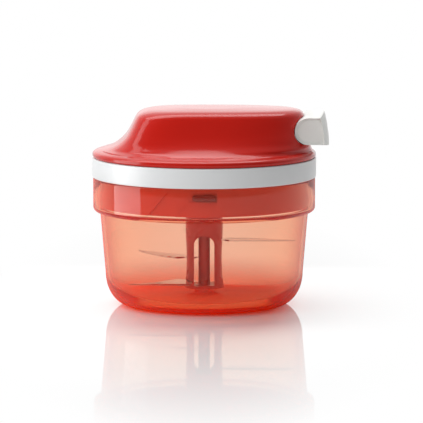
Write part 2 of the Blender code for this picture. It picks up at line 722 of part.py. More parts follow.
def level_ring(level, inset=0.0):
    """A level of the cover's skin. The hump's corners keep inside the rim."""
    z, left, right, half, square_left, square_right = level
    ring = []
    for i in range(RAYS):
        a = math.tau * i / RAYS
        r = outline_r(a, left, right, half, square_left, square_right)
        if level in HUMP_LEVELS:
            r = min(r, outline_r(a, *FOOT_LIMIT))
        ring.append(polar(r - inset, a, TRIM_TOP_Z + z - inset))
    return ring


def circle_ring(radius, z):
    return [polar(radius, math.tau * i / RAYS, z) for i in range(RAYS)]


def scoop_cutter(name, wall):
    """The round-backed groove across the nose that the grip nests in, or that groove with a wall round it."""
    r = SCOOP_R + wall
    far = TRIM_R + 20.0 * MM
    outline = [(far, SCOOP_Z - r), (far, SCOOP_Z + r), *arc((SCOOP_X + SCOOP_R, SCOOP_Z), r, 90, 270, 12)]
    return loft(name, [[(x, y, z) for x, z in outline] for y in (BAND_R, -BAND_R)])


def boss(name, place, outer, hole, low, top, hole_depth):
    """A screw boss that hangs from the cover, with a blind hole from below. It ends inside the cover's wall."""
    profile = [(0.0, top), (outer, top), (outer, low), (hole, low), (hole, low + hole_depth), (0.0, low + hole_depth)]
    made = turned(name, profile, SMALL_STEPS, closed=False, place=place)
    limit = [level_ring(level, COVER_WALL * 0.5) for level in INNER_LEVELS]
    limit.insert(0, [(x, y, PLATE_LOW_Z) for x, y, z in limit[0]])
    return combine(made, loft(name + " limit", limit), "INTERSECT")


def make_top_cover():
    spigot_low = LIP_TOP_Z + TRIM_LIP_T + 2.0 * SEAT_GAP
    rim_low = TRIM_TOP_Z + RIM_LEVELS[0][0]
    outer = [circle_ring(SPIGOT_R, spigot_low), circle_ring(SPIGOT_R, rim_low)]
    outer += [level_ring(level) for level in RIM_LEVELS + HUMP_LEVELS]
    cover = loft("top_cover", outer)
    spigot_in = SPIGOT_R - COVER_WALL
    inner = [circle_ring(spigot_in, spigot_low - OVERSHOOT), circle_ring(spigot_in, rim_low + 1.1 * MM)]
    inner += [level_ring(level, COVER_WALL) for level in INNER_LEVELS]
    space = loft("cover space", inner)
    cut(space, scoop_cutter("scoop wall", SCOOP_WALL))
    cut(cover, scoop_cutter("scoop", 0.0))
    cut(cover, space)
    hole_r = EYELET_R + HOLE_GAP
    cut(cover, cylinder_x("eyelet hole", hole_r, SCOOP_X - SCOOP_WALL - OVERSHOOT, SCOOP_X + OVERSHOOT, CORD_Z))
    cut(cover, cylinder_x("eyelet seat", EYELET_FLANGE_R + HOLE_GAP, SCOOP_X, SCOOP_X + SCOOP_R, CORD_Z))
    plate_top = PLATE_LOW_Z + PLATE_T
    for angle in BASE_SCREWS.values():
        place = polar(BASE_SCREW_CIRCLE, angle, 0.0)[:2]
        hole = SCREW_R + HOLE_GAP
        depth = BASE_SCREW_LENGTH - PLATE_T + SCREW_TIP_SPACE
        low = plate_top + SEAT_GAP
        join(cover, boss("base screw boss", place, hole + BOSS_WALL, hole, low, BASE_BOSS_TOP_Z, depth))
    for angle in HOUSING_SCREWS:
        place = polar(HOUSING_SCREW_CIRCLE, angle, 0.0)[:2]
        hole = HOUSING_SCREW_R + HOLE_GAP
        depth = HOUSING_SCREW_LENGTH - HOUSING_EAR_T + SCREW_TIP_SPACE
        low = HOUSING_EAR_TOP_Z + SEAT_GAP
        join(cover, boss("housing boss", place, hole + BOSS_WALL, hole, low, CEILING_BOSS_TOP_Z, depth))
    axle_hole = AXLE_R + HOLE_GAP
    low = DRUM_TOP_Z + SEAT_GAP
    depth = AXLE_TOP_Z + SEAT_GAP - low
    join(cover, boss("axle boss", (0.0, 0.0), axle_hole + BOSS_WALL, axle_hole, low, CEILING_BOSS_TOP_Z, depth))
    return put(cover, cover_joint, RED_PLASTIC)


def make_screw(name, place, head_r, head_h, shank_r, length, head_top):
    """A pan-head screw that points up, its head's bearing face at head_top."""
    tip = head_top + length
    profile = [
        (0.0, tip),
        (shank_r * 0.5, tip),
        (shank_r, tip - shank_r),
        (shank_r, head_top),
        (head_r, head_top),
        (head_r, head_top - head_h * 0.6),
        (head_r * 0.8, head_top - head_h),
        (SCREW_RECESS * head_r, head_top - head_h),
        (SCREW_RECESS * head_r * 0.6, head_top - head_h * 0.4),
        (0.0, head_top - head_h * 0.4),
    ]
    return put(turned(name, profile, SCREW_STEPS, closed=False, place=place), cover_joint, STEEL)


def make_bush():
    bore = DRIVER_R + RUN_GAP
    outer = bore + BUSH_WALL
    flange_low = COLLAR_TOP_Z + SEAT_GAP
    top = flange_low + BUSH_FLANGE_T
    profile = [
        (bore, top),
        (BUSH_FLANGE_R, top),
        (BUSH_FLANGE_R, flange_low),
        (outer, flange_low),
        (outer, COLLAR_LOW_Z + SEAT_GAP),
        (bore, COLLAR_LOW_Z + SEAT_GAP),
    ]
    return put(turned("shaft_bush", profile, MEDIUM_STEPS), cover_joint, BRONZE)


def tooth_ring(name, root_z, height, direction, steep):
    """Saw teeth round a ring, pointing up (direction 1) or down (-1). steep is where the drop lies, in degrees."""
    pitch = 360.0 / TEETH
    start, end = TOOTH_FLAT, pitch + steep[0]
    buried = 0.4 * MM
    columns = []
    for tooth in range(TEETH):
        shares = [(steep[1], 1.0 if direction > 0 else 0.0)]
        for t in (0.0, 0.33, 0.67, 1.0):
            shares.append((start + (end - start) * t, 1.0 - t if direction > 0 else t))
        for inside, share in shares:
            tip = root_z + direction * (height * share + TOOTH_LAND)
            low, high = sorted((root_z - direction * buried, tip))
            columns.append((math.radians(tooth * pitch + inside), TOOTH_IN_R, TOOTH_OUT_R, low, high))
    columns.sort()
    return ribbon(name, columns, closed=True)


def make_driver():
    flange_top = DRIVER_FLANGE_Z + DRIVER_FLANGE_T
    socket_r = HEAD_R + RUN_GAP
    profile = [
        (0.0, flange_top),
        (DRIVER_FLANGE_R, flange_top),
        (DRIVER_FLANGE_R, DRIVER_FLANGE_Z),
        (DRIVER_R, DRIVER_FLANGE_Z),
        (DRIVER_R, DRIVER_LOW_Z),
        (socket_r, DRIVER_LOW_Z),
        (socket_r, SOCKET_TOP_Z),
        (0.0, SOCKET_TOP_Z),
    ]
    driver = turned("clutch_driver", profile, MEDIUM_STEPS, closed=False)
    half = DOG_WIDTH / 2.0
    for angle in dog_angles():
        middle = angle - DOG_WIDTH - DOG_FREE
        columns = [
            (middle + half * t, HEAD_CORE_R + RUN_GAP, socket_r + 0.5 * MM, DRIVER_LOW_Z, SOCKET_TOP_Z + 0.5 * MM)
            for t in (-1.0, 0.0, 1.0)
        ]
        join(driver, ribbon("driver dog", columns))
    join(driver, tooth_ring("driver teeth", flange_top, TOOTH_H, 1, DRIVER_STEEP))
    return put(driver, driver_joint, INNER_PLASTIC)


def make_drum():
    bore = AXLE_R + HOLE_GAP
    groove_low = DRUM_LOW_FLANGE_Z + DRUM_FLANGE_T
    groove_top = DRUM_TOP_Z - DRUM_FLANGE_T
    profile = [
        (bore, DRUM_TOP_Z),
        (DRUM_FLANGE_R, DRUM_TOP_Z),
        (DRUM_FLANGE_R, groove_top),
        (CORE_R, groove_top),
        (CORE_R, groove_low),
        (DRUM_FLANGE_R, groove_low),
        (DRUM_FLANGE_R, DRUM_LOW_FLANGE_Z),
        (CORE_R - DRUM_RIM_WALL, DRUM_LOW_FLANGE_Z),
        (CORE_R - DRUM_RIM_WALL, groove_top - DRUM_RIM_WALL),
        (HUB_R, groove_top - DRUM_RIM_WALL),
        (HUB_R, HUB_FOOT_TOP_Z),
        (HUB_FOOT_R, HUB_FOOT_TOP_Z),
        (HUB_FOOT_R, HUB_LOW_Z),
        (HUB_RECESS_R, HUB_LOW_Z),
        (HUB_RECESS_R, HUB_RECESS_TOP_Z),
        (bore, HUB_RECESS_TOP_Z),
    ]
    drum = turned("cord_drum", profile, MEDIUM_STEPS)
    join(drum, tooth_ring("hub teeth", HUB_LOW_Z, HUB_TOOTH_H, -1, HUB_STEEP))
    return put(drum, drum_joint, INNER_PLASTIC)


def make_axle():
    hole = AXLE_SCREW_R + HOLE_GAP
    hole_top = AXLE_LOW_Z + AXLE_SCREW_LENGTH
    profile = [
        (0.0, AXLE_TOP_Z),
        (AXLE_R - 0.4 * MM, AXLE_TOP_Z),
        (AXLE_R, AXLE_TOP_Z - 0.4 * MM),
        (AXLE_R, AXLE_LOW_Z),
        (hole, AXLE_LOW_Z),
        (hole, hole_top),
        (0.0, hole_top),
    ]
    put(turned("drum_axle", profile, SMALL_STEPS, closed=False), lift_joint, STEEL)
    washer_top = AXLE_LOW_Z - SEAT_GAP
    washer_low = washer_top - WASHER_T
    washer = [(hole, washer_top), (WASHER_R, washer_top), (WASHER_R, washer_low), (hole, washer_low)]
    put(turned("drum_washer", washer, SMALL_STEPS), cover_joint, STEEL)
    head_top = washer_low - SEAT_GAP
    make_screw(
        "drum_screw", (0.0, 0.0), AXLE_SCREW_HEAD_R, AXLE_SCREW_HEAD_H, AXLE_SCREW_R,
        AXLE_SCREW_LENGTH, head_top,
    )


def make_housing():
    floor_top = HOUSING_LOW_Z + HOUSING_WALL
    profile = [
        (HOUSING_R - HOUSING_WALL, HOUSING_TOP_Z),
        (HOUSING_R, HOUSING_TOP_Z),
        (HOUSING_R, HOUSING_LOW_Z),
        (HUB_FOOT_R + RUN_GAP, HOUSING_LOW_Z),
        (HUB_FOOT_R + RUN_GAP, floor_top),
        (HOUSING_R - HOUSING_WALL, floor_top),
    ]
    housing = turned("spring_housing", profile, MEDIUM_STEPS)
    ear_low = HOUSING_EAR_TOP_Z - HOUSING_EAR_T
    for angle in HOUSING_SCREWS:
        place = polar(HOUSING_SCREW_CIRCLE, angle, 0.0)[:2]
        inner = HOUSING_R - HOUSING_WALL / 2.0
        outer = HOUSING_SCREW_CIRCLE + HOUSING_EAR_R
        spread = HOUSING_EAR_R / HOUSING_SCREW_CIRCLE
        columns = [(angle + spread * t, inner, outer, ear_low, HOUSING_EAR_TOP_Z) for t in (-1.0, -0.4, 0.4, 1.0)]
        join(housing, ribbon("housing ear", columns))
        hole_r = HOUSING_SCREW_R + HOLE_GAP
        cut(housing, cylinder("ear hole", hole_r, ear_low - OVERSHOOT, HOUSING_TOP_Z + OVERSHOOT, SCREW_STEPS, place))
    return put(housing, cover_joint, INNER_PLASTIC)


def least_gap(points, thickness, apart):
    """The least gap of a wound form to itself, between points more than `apart` places from each other."""
    least = min(
        (Vector(a) - Vector(b)).length for i, a in enumerate(points) for b in points[i + apart:]
    )
    return (least - thickness) / MM


def make_spring():
    """The recoil spring: one strip wound flat, its inner end on the hub and its outer end on the housing."""
    start = HUB_R + SEAT_GAP + SPRING_STRIP / 2.0
    end = HOUSING_R - HOUSING_WALL - SEAT_GAP - SPRING_STRIP / 2.0
    steps = SPRING_TURNS * LOOP_POINTS
    columns = []
    middles = []
    for i in range(steps + 1):
        a = math.tau * i / LOOP_POINTS
        r = start + (end - start) * i / steps
        columns.append((a, r - SPRING_STRIP / 2.0, r + SPRING_STRIP / 2.0, SPRING_LOW_Z, SPRING_LOW_Z + SPRING_HEIGHT))
        middles.append(polar(r, a, 0.0))
    print(f"recoil spring: least gap between turns {least_gap(middles, SPRING_STRIP, LOOP_POINTS // 2):.2f} mm")
    return put(ribbon("recoil_spring", columns), cover_joint, STEEL)


def make_wave_spring():
    """A thin wavy ring that holds the driver up against the drum's teeth."""
    low = COLLAR_TOP_Z + SEAT_GAP + BUSH_FLANGE_T + SEAT_GAP
    swing = (DRIVER_FLANGE_Z - low - SEAT_GAP - WAVE_T) / 2.0
    columns = []
    for i in range(LOOP_POINTS):
        a = math.tau * i / LOOP_POINTS
        z = low + swing * (1.0 + math.cos(WAVES * a))
        columns.append((a, DRIVER_R + 2.0 * RUN_GAP, DRIVER_FLANGE_R - RUN_GAP, z, z + WAVE_T))
    return put(ribbon("wave_spring", columns, closed=True), cover_joint, STEEL)


def cord(name, points, sides, carrier):
    """A cord through its points, with filled ends."""
    curve = bpy.data.curves.new(name, "CURVE")
    curve.dimensions = "3D"
    curve.bevel_depth = CORD_R
    curve.bevel_resolution = sides
    curve.use_fill_caps = True
    spline = curve.splines.new("POLY")
    spline.points.add(len(points) - 1)
    for point, place in zip(spline.points, points):
        point.co = (*(Vector(place) - carrier.location), 1.0)
    obj = bpy.data.objects.new(name, curve)
    obj.location = carrier.location
    return put(obj, carrier, CORD)


def make_cord():
    """The wound cord, and its run from the drum through the eyelet to the knot in the grip."""
    guide = Vector((SCOOP_X - SCOOP_WALL, 0.0, CORD_Z))
    leave = -math.acos(WINDING_R / guide.x)
    tangent = Vector((-math.sin(leave), math.cos(leave), 0.0))
    wound = []
    steps = WINDING_TURNS * LOOP_POINTS
    for i in range(steps, -1, -1):
        turn = math.tau * i / LOOP_POINTS
        wound.append(Vector(polar(WINDING_R, leave - turn, WINDING_TOP_Z - WINDING_PITCH * turn / math.tau)))
    print(f"wound cord: least gap between turns {least_gap(wound, 2.0 * CORD_R, LOOP_POINTS // 2):.2f} mm")
    wound.append(wound[-1] + tangent * 2.0 * CORD_R)
    cord("cord_winding", wound, 1, drum_joint)
    start = wound[-1] + tangent * SEAT_GAP
    end = Vector((KNOT_POCKET_X, 0.0, CORD_Z))
    straight = start + tangent * 2.0 * CORD_R
    run = [start, straight]
    bend_in = guide - Vector((CORD_BEND, 0.0, 0.0))
    corner = guide - tangent * CORD_BEND + Vector((0.0, 0.0, (WINDING_TOP_Z - CORD_Z) * 0.1))
    for i in range(1, 8):
        run.append(straight.lerp(corner, i / 7.0))
    for i in range(1, 6):
        t = i / 6.0
        run.append(corner.lerp(bend_in.lerp(guide, 0.5), t).lerp(bend_in.lerp(guide, 0.5).lerp(guide, t), t))
    run.append(guide)
    run.append(guide.lerp(end, 0.5))
    run.append(end)
    cord("cord_run", run, 2, pull_joint)


def make_eyelet():
    """A flanged bush in the scoop's back wall, which the cord runs through."""
    seat = SCOOP_X + SEAT_GAP
    start = seat + EYELET_FLANGE_T - EYELET_LENGTH
    profile = [
        (EYELET_BORE_R + 0.4 * MM, EYELET_LENGTH),
        (EYELET_FLANGE_R, EYELET_LENGTH),
        (EYELET_FLANGE_R, EYELET_LENGTH - EYELET_FLANGE_T),
        (EYELET_R, EYELET_LENGTH - EYELET_FLANGE_T),
        (EYELET_R, 0.0),
        (EYELET_BORE_R + 0.6 * MM, 0.0),
        (EYELET_BORE_R, 0.8 * MM),
        (EYELET_BORE_R, EYELET_LENGTH - 0.6 * MM),
    ]
    eyelet = turned("cord_eyelet", profile, SMALL_STEPS)
    eyelet.rotation_euler = (0.0, math.pi / 2.0, 0.0)
    eyelet.location = (start, 0.0, CORD_Z)
    return put(eyelet, cover_joint, STEEL)


def grip_section(y, shrink=1.0):
    """The grip's outline across Y: a round back, a neck, and a lip that flares to the bowed outer face."""
    off = abs(y) / GRIP_HALF_WIDTH
    body = GRIP_BODY_HALF_H
    top = GRIP_LIP_TOP + (GRIP_LIP_END - GRIP_LIP_TOP) * off ** 2
    low = GRIP_LIP_LOW + (GRIP_LIP_END - GRIP_LIP_LOW) * off ** 2
    face = GRIP_FACE_X - GRIP_BOW * off ** 2
    lean = math.tan(GRIP_LEAN)
    middle = GRIP_BACK_X + body
    outline = [
        (face + lean * low, -low),
        (face + lean * low * 0.5 + 0.4 * MM, -low * 0.5),
        (face + 0.6 * MM, 0.0),
        (face - lean * top * 0.5 + 0.4 * MM, top * 0.5),
        (face - lean * top, top),
        (face - lean * top - GRIP_LIP_T * 0.5, top),
        (GRIP_NECK_X + 1.8 * MM, body + (top - body) * 0.25),
        (GRIP_NECK_X, body),
        *arc((middle, 0.0), body, 90, 270, 10),
        (GRIP_NECK_X, -body),
        (GRIP_NECK_X + 1.8 * MM, -body - (low - body) * 0.25),
        (face + lean * low - GRIP_LIP_T * 0.5, -low),
    ]
    centre = (middle + face) / 2.0
    return [(centre + (x - centre) * shrink, y, CORD_Z + z * shrink) for x, z in outline]


def make_grip():
    w = GRIP_HALF_WIDTH
    stations = [(w, 0.84), (w - 0.5 * MM, 0.93), (w - 1.5 * MM, 1.0), (w * 0.75, 1.0), (w * 0.4, 1.0), (0.0, 1.0)]
    stations += [(-y, shrink) for y, shrink in reversed(stations[:-1])]
    grip = loft("pull_handle", [grip_section(y, shrink) for y, shrink in stations])
    cut(grip, cylinder_x("cord bore", EYELET_BORE_R, GRIP_BACK_X - OVERSHOOT, KNOT_POCKET_X + 0.1 * MM, CORD_Z))
    cut(grip, cylinder_x("knot pocket", KNOT_POCKET_R, KNOT_POCKET_X, GRIP_FACE_X + 5.0 * MM, CORD_Z))
    put(grip, pull_joint, GRIP_PLASTIC)
    bpy.ops.mesh.primitive_uv_sphere_add(
        segments=12, ring_count=8, radius=KNOT_R, location=(KNOT_POCKET_X + SEAT_GAP + KNOT_R, 0.0, CORD_Z)
    )
    knot = bpy.context.object
    knot.name = "cord_knot"
    put(knot, pull_joint, CORD)
    plug_start = KNOT_POCKET_X + 2.0 * (SEAT_GAP + KNOT_R)
    plug = cylinder_x("handle_plug", KNOT_POCKET_R - SEAT_GAP, plug_start, GRIP_FACE_X, CORD_Z)
    put(plug, pull_joint, GRIP_PLASTIC)


make_bowl()
make_pivot_pin()
make_post()
make_blade("upper_blade", UPPER_BLADE)
make_blade("middle_blade", MIDDLE_BLADE)
make_blade("lower_blade", LOWER_BLADE)
make_top_cover()
make_trim_ring()
make_base_plate()
make_bush()
make_driver()
make_wave_spring()
make_drum()
make_axle()
make_housing()
make_spring()
make_cord()
make_eyelet()
make_grip()
for screw_name, screw_angle in BASE_SCREWS.items():
    make_screw(
        screw_name, polar(BASE_SCREW_CIRCLE, screw_angle, 0.0)[:2], SCREW_HEAD_R, SCREW_HEAD_H, SCREW_R,
        BASE_SCREW_LENGTH, PLATE_LOW_Z - SEAT_GAP,
    )
for number, screw_angle in enumerate(HOUSING_SCREWS, 1):
    make_screw(
        f"housing_screw_{number}", polar(HOUSING_SCREW_CIRCLE, screw_angle, 0.0)[:2], HOUSING_SCREW_HEAD_R,
        HOUSING_SCREW_HEAD_H, HOUSING_SCREW_R, HOUSING_SCREW_LENGTH, HOUSING_EAR_TOP_Z - HOUSING_EAR_T - SEAT_GAP,
    )
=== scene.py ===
"""A pull-cord food chopper on a glossy white table: coral bowl, bladed post, red cover with a pull grip."""

import math

import bmesh
import bpy
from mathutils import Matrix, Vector


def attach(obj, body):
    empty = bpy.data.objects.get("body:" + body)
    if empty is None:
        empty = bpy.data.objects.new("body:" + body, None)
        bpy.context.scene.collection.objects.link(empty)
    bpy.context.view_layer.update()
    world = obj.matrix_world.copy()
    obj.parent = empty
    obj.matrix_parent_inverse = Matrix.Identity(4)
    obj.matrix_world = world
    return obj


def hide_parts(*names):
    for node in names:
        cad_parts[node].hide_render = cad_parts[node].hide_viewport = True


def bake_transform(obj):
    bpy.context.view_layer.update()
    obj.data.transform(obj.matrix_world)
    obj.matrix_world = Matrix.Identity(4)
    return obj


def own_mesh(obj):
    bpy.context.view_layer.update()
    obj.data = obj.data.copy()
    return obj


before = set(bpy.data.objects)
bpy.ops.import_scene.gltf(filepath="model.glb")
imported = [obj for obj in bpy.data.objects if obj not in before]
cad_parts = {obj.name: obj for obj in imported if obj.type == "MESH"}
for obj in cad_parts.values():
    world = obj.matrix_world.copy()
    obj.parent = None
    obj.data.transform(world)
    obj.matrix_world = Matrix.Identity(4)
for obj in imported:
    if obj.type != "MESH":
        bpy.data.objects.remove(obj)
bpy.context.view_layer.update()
MM = 0.001


# The bowl: one clear coral moulding, open at the top. Its wall leans out a little, rounds in to a flat foot,
# and steps out at the top into the band that the cover locks into. Three lugs stand inside the band, and a
# boss in the middle of the floor holds the post's pin.
FOOT_R = 42.0 * MM
CORNER_R = 55.2 * MM
CORNER_H = 18.0 * MM
WALL_TOP_R = 58.1 * MM
BOWL_WALL = 2.2 * MM
FLOOR_T = 4.3 * MM
BAND_LOW_Z = 52.6 * MM
BAND_R = 62.0 * MM
BAND_WALL = 2.0 * MM
BAND_ROUND = 2.6 * MM
RIM_Z = 71.5 * MM
BOWL_BOSS_R = 5.2 * MM
BOWL_BOSS_TOP_Z = 7.8 * MM
PIN_HOLE_R = 2.0 * MM
PIN_HOLE_LOW_Z = 1.2 * MM
LUG_ANGLES = [math.radians(-90.0 + 120.0 * i) for i in range(3)]
LUG_WIDTH = 13.0 * MM
LUG_LOW_Z = 64.8 * MM
LUG_HIGH_Z = 68.2 * MM
LUG_TOP_GAP = 0.4 * MM
LUG_REACH = 2.6 * MM
LUG_ROUND = 1.1 * MM


def drawn_up(name, rings, joined=False):
    """A skin made by extruding a ring of points over and over, and setting each new ring on its outline.

    The two ends are filled, or joined to each other.
    """
    bpy.ops.object.select_all(action="DESELECT")
    bpy.ops.mesh.primitive_circle_add(vertices=len(rings[0]), radius=1.0)
    piece = bpy.context.object
    piece.name = name
    piece.data.name = name
    bpy.ops.object.mode_set(mode="EDIT")
    bpy.ops.mesh.select_all(action="SELECT")
    form = bmesh.from_edit_mesh(piece.data)
    for vertex, place in zip(form.verts, rings[0]):
        vertex.co = place
    places = {tuple(vertex.co): i for i, vertex in enumerate(form.verts)}
    for ring in rings[1:]:
        bpy.ops.mesh.extrude_region_move(TRANSFORM_OT_translate={"value": (0.0, 0.0, 0.0)})
        form = bmesh.from_edit_mesh(piece.data)
        raised = {}
        for vertex in [v for v in form.verts if v.select]:
            i = places[tuple(vertex.co)]
            vertex.co = ring[i]
            raised[tuple(vertex.co)] = i
        places = raised
        bmesh.update_edit_mesh(piece.data)
    bpy.ops.mesh.select_all(action="DESELECT")
    bpy.ops.mesh.select_mode(type="EDGE")
    bpy.ops.mesh.select_non_manifold(extend=False)
    if joined:
        bpy.ops.mesh.bridge_edge_loops()
    else:
        bpy.ops.mesh.fill_holes(sides=0)
    bpy.ops.mesh.select_all(action="SELECT")
    bpy.ops.mesh.normals_make_consistent(inside=False)
    bpy.ops.object.mode_set(mode="OBJECT")
    return piece


def round_ring(radius, z, sides, middle=(0.0, 0.0)):
    """A level ring of points round a middle."""
    turns = [math.tau * i / sides for i in range(sides)]
    return [(middle[0] + radius * math.cos(a), middle[1] + radius * math.sin(a), z) for a in turns]


def turned(name, section, sides=144, joined=False, middle=(0.0, 0.0)):
    """A round piece from its section, a chain of (radius, height)."""
    return drawn_up(name, [round_ring(r, z, sides, middle) for r, z in section], joined)


def bend(middle, radius, start, end, steps):
    """Points on an arc of a section, angles in degrees."""
    points = []
    for i in range(steps + 1):
        a = math.radians(start + (end - start) * i / steps)
        points.append((middle[0] + radius * math.cos(a), middle[1] + radius * math.sin(a)))
    return points


def picked(piece):
    """Select one piece and nothing else, for the operators that work on the selection."""
    bpy.ops.object.select_all(action="DESELECT")
    piece.select_set(True)
    bpy.context.view_layer.objects.active = piece


def merged(piece, other, operation="UNION"):
    """Unite a piece with another, or cut the other out of it, and drop the other."""
    step = piece.modifiers.new(operation.lower(), "BOOLEAN")
    step.operation = operation
    step.solver = "EXACT"
    step.object = other
    picked(piece)
    bpy.ops.object.modifier_apply(modifier=step.name)
    bpy.data.objects.remove(other, do_unlink=True)
    return piece


def smooth(piece, degrees=35.0):
    """Shade a piece smooth, up to an angle between its faces."""
    picked(piece)
    bpy.ops.object.shade_smooth_by_angle(angle=math.radians(degrees))
    return piece


def edges_eased(piece, width, degrees=50.0):
    """Round the sharp edges of a piece a little."""
    step = piece.modifiers.new("eased edges", "BEVEL")
    step.width = width
    step.segments = 3
    step.limit_method = "ANGLE"
    step.angle_limit = math.radians(degrees)
    picked(piece)
    bpy.ops.object.modifier_apply(modifier=step.name)
    return piece


def bent_block(name, columns, joined=False):
    """A block bent round the axis. Each column is (angle, inner radius, outer radius, low, high)."""
    rings = []
    for a, inner, outer, low, high in columns:
        x, y = math.cos(a), math.sin(a)
        rings.append([
            (outer * x, outer * y, low), (inner * x, inner * y, low),
            (inner * x, inner * y, high), (outer * x, outer * y, high),
        ])
    return drawn_up(name, rings, joined)


def bowl_wall(z):
    """Outer radius of the bowl's body at a height."""
    if z < CORNER_H:
        return FOOT_R + (CORNER_R - FOOT_R) * math.sqrt(1.0 - ((CORNER_H - z) / CORNER_H) ** 2)
    return CORNER_R + (WALL_TOP_R - CORNER_R) * (z - CORNER_H) / (BAND_LOW_Z - CORNER_H)


def bowl_section():
    band_in = BAND_R - BAND_WALL
    shelf_z = BAND_LOW_Z + BOWL_WALL
    rises = [(1.0 - math.cos(math.radians(a))) * CORNER_H for a in range(0, 91, 5)]
    walls = [CORNER_H + (BAND_LOW_Z - CORNER_H) * t for t in (0.2, 0.4, 0.6, 0.8)]
    squash = (CORNER_H - FLOOR_T) / CORNER_H
    section = [(PIN_HOLE_R * 0.5, PIN_HOLE_LOW_Z), (PIN_HOLE_R, PIN_HOLE_LOW_Z)]
    section += [(PIN_HOLE_R, BOWL_BOSS_TOP_Z - 0.3 * MM), (PIN_HOLE_R + 0.3 * MM, BOWL_BOSS_TOP_Z)]
    section += bend((BOWL_BOSS_R - 0.5 * MM, BOWL_BOSS_TOP_Z - 0.5 * MM), 0.5 * MM, 90, 0, 3)
    section += bend((BOWL_BOSS_R + 1.6 * MM, FLOOR_T + 1.5 * MM), 1.5 * MM, 180, 270, 5)
    section += [(20.0 * MM, FLOOR_T), (32.0 * MM, FLOOR_T)]
    section += [(bowl_wall(z) - BOWL_WALL, FLOOR_T + z * squash) for z in rises]
    section += [(bowl_wall(z) - BOWL_WALL, z) for z in walls]
    section += bend((WALL_TOP_R - BOWL_WALL + 1.6 * MM, shelf_z - 1.6 * MM), 1.6 * MM, 180, 90, 6)
    section += bend((band_in - 0.8 * MM, shelf_z + 0.8 * MM), 0.8 * MM, -90, 0, 4)
    section += [(band_in, shelf_z + (RIM_Z - shelf_z) * t) for t in (0.3, 0.6)]
    section += bend((band_in + 0.6 * MM, RIM_Z - 0.6 * MM), 0.6 * MM, 180, 90, 4)
    section += bend((BAND_R - 0.6 * MM, RIM_Z - 0.6 * MM), 0.6 * MM, 90, 0, 4)
    section += [(BAND_R, BAND_LOW_Z + BAND_ROUND + 6.0 * MM)]
    section += bend((BAND_R - BAND_ROUND, BAND_LOW_Z + BAND_ROUND), BAND_ROUND, 0, -90, 10)
    section += [(WALL_TOP_R + 0.45 * MM, BAND_LOW_Z), (WALL_TOP_R + 0.1 * MM, BAND_LOW_Z - 0.1 * MM)]
    section += [(WALL_TOP_R, BAND_LOW_Z - 0.45 * MM)]
    section += [(bowl_wall(z), z) for z in reversed(walls)]
    section += [(bowl_wall(z), z) for z in reversed(rises)]
    return section


class Socket:
    """A shader socket that can be written into an expression."""

    def __init__(self, nodes, socket):
        self.nodes = nodes
        self.socket = socket

    def maths(self, operation, first, second):
        return self.nodes.node("ShaderNodeMath", {"operation": operation}, (first, second))

    def __add__(self, other):
        return self.maths("ADD", self, other)

    def __radd__(self, other):
        return self.maths("ADD", other, self)

    def __sub__(self, other):
        return self.maths("SUBTRACT", self, other)

    def __rsub__(self, other):
        return self.maths("SUBTRACT", other, self)

    def __mul__(self, other):
        return self.maths("MULTIPLY", self, other)

    def __rmul__(self, other):
        return self.maths("MULTIPLY", other, self)


class Nodes:
    """A node tree that nodes are added to."""

    def __init__(self, tree):
        self.tree = tree

    def node(self, kind, settings=None, values=(), output=0):
        """Add a node: its settings first, then the values or links of its sockets, by place or by name."""
        made = self.tree.nodes.new(kind)
        for name, value in (settings or {}).items():
            setattr(made, name, value)
        pairs = values.items() if isinstance(values, dict) else enumerate(values)
        for name, value in pairs:
            if isinstance(value, Socket):
                self.tree.links.new(value.socket, made.inputs[name])
            else:
                made.inputs[name].default_value = value
        return Socket(self, made.outputs[output])


class Finish(Nodes):
    """A material made of nodes, round its Principled shader."""

    def __init__(self, name, fixed=None):
        self.material = bpy.data.materials.new(name)
        self.material.use_nodes = True
        super().__init__(self.material.node_tree)
        self.shader = self.tree.nodes["Principled BSDF"]
        for socket, value in (fixed or {}).items():
            self.shader.inputs[socket].default_value = value
        self.place = self.node("ShaderNodeTexCoord", output="Object")

    def shows(self, shader, where="Surface"):
        self.tree.links.new(shader.socket, self.tree.nodes["Material Output"].inputs[where])

    def noise(self, scale, detail=3.0, stretch=(1.0, 1.0, 1.0)):
        spread = self.node("ShaderNodeMapping", {}, {"Vector": self.place, "Scale": stretch})
        return self.node("ShaderNodeTexNoise", {}, {"Vector": spread, "Scale": scale, "Detail": detail})

    def blended(self, share, first, second):
        """A colour between two, by a share from 0 to 1."""
        colours = {0: share, 6: (*first, 1.0), 7: (*second, 1.0)}
        return self.node("ShaderNodeMix", {"data_type": "RGBA"}, colours, 2)

    def varies(self, sockets):
        for name, value in sockets.items():
            self.tree.links.new(value.socket, self.shader.inputs[name])

    def bumped(self, height, strength, distance):
        sockets = {"Height": height, "Strength": strength, "Distance": distance}
        self.varies({"Normal": self.node("ShaderNodeBump", {}, sockets)})

    def on(self, piece):
        piece.data.materials.clear()
        piece.data.materials.append(self.material)
        return piece


bowl = smooth(turned("chopper_bowl", bowl_section(), 180))

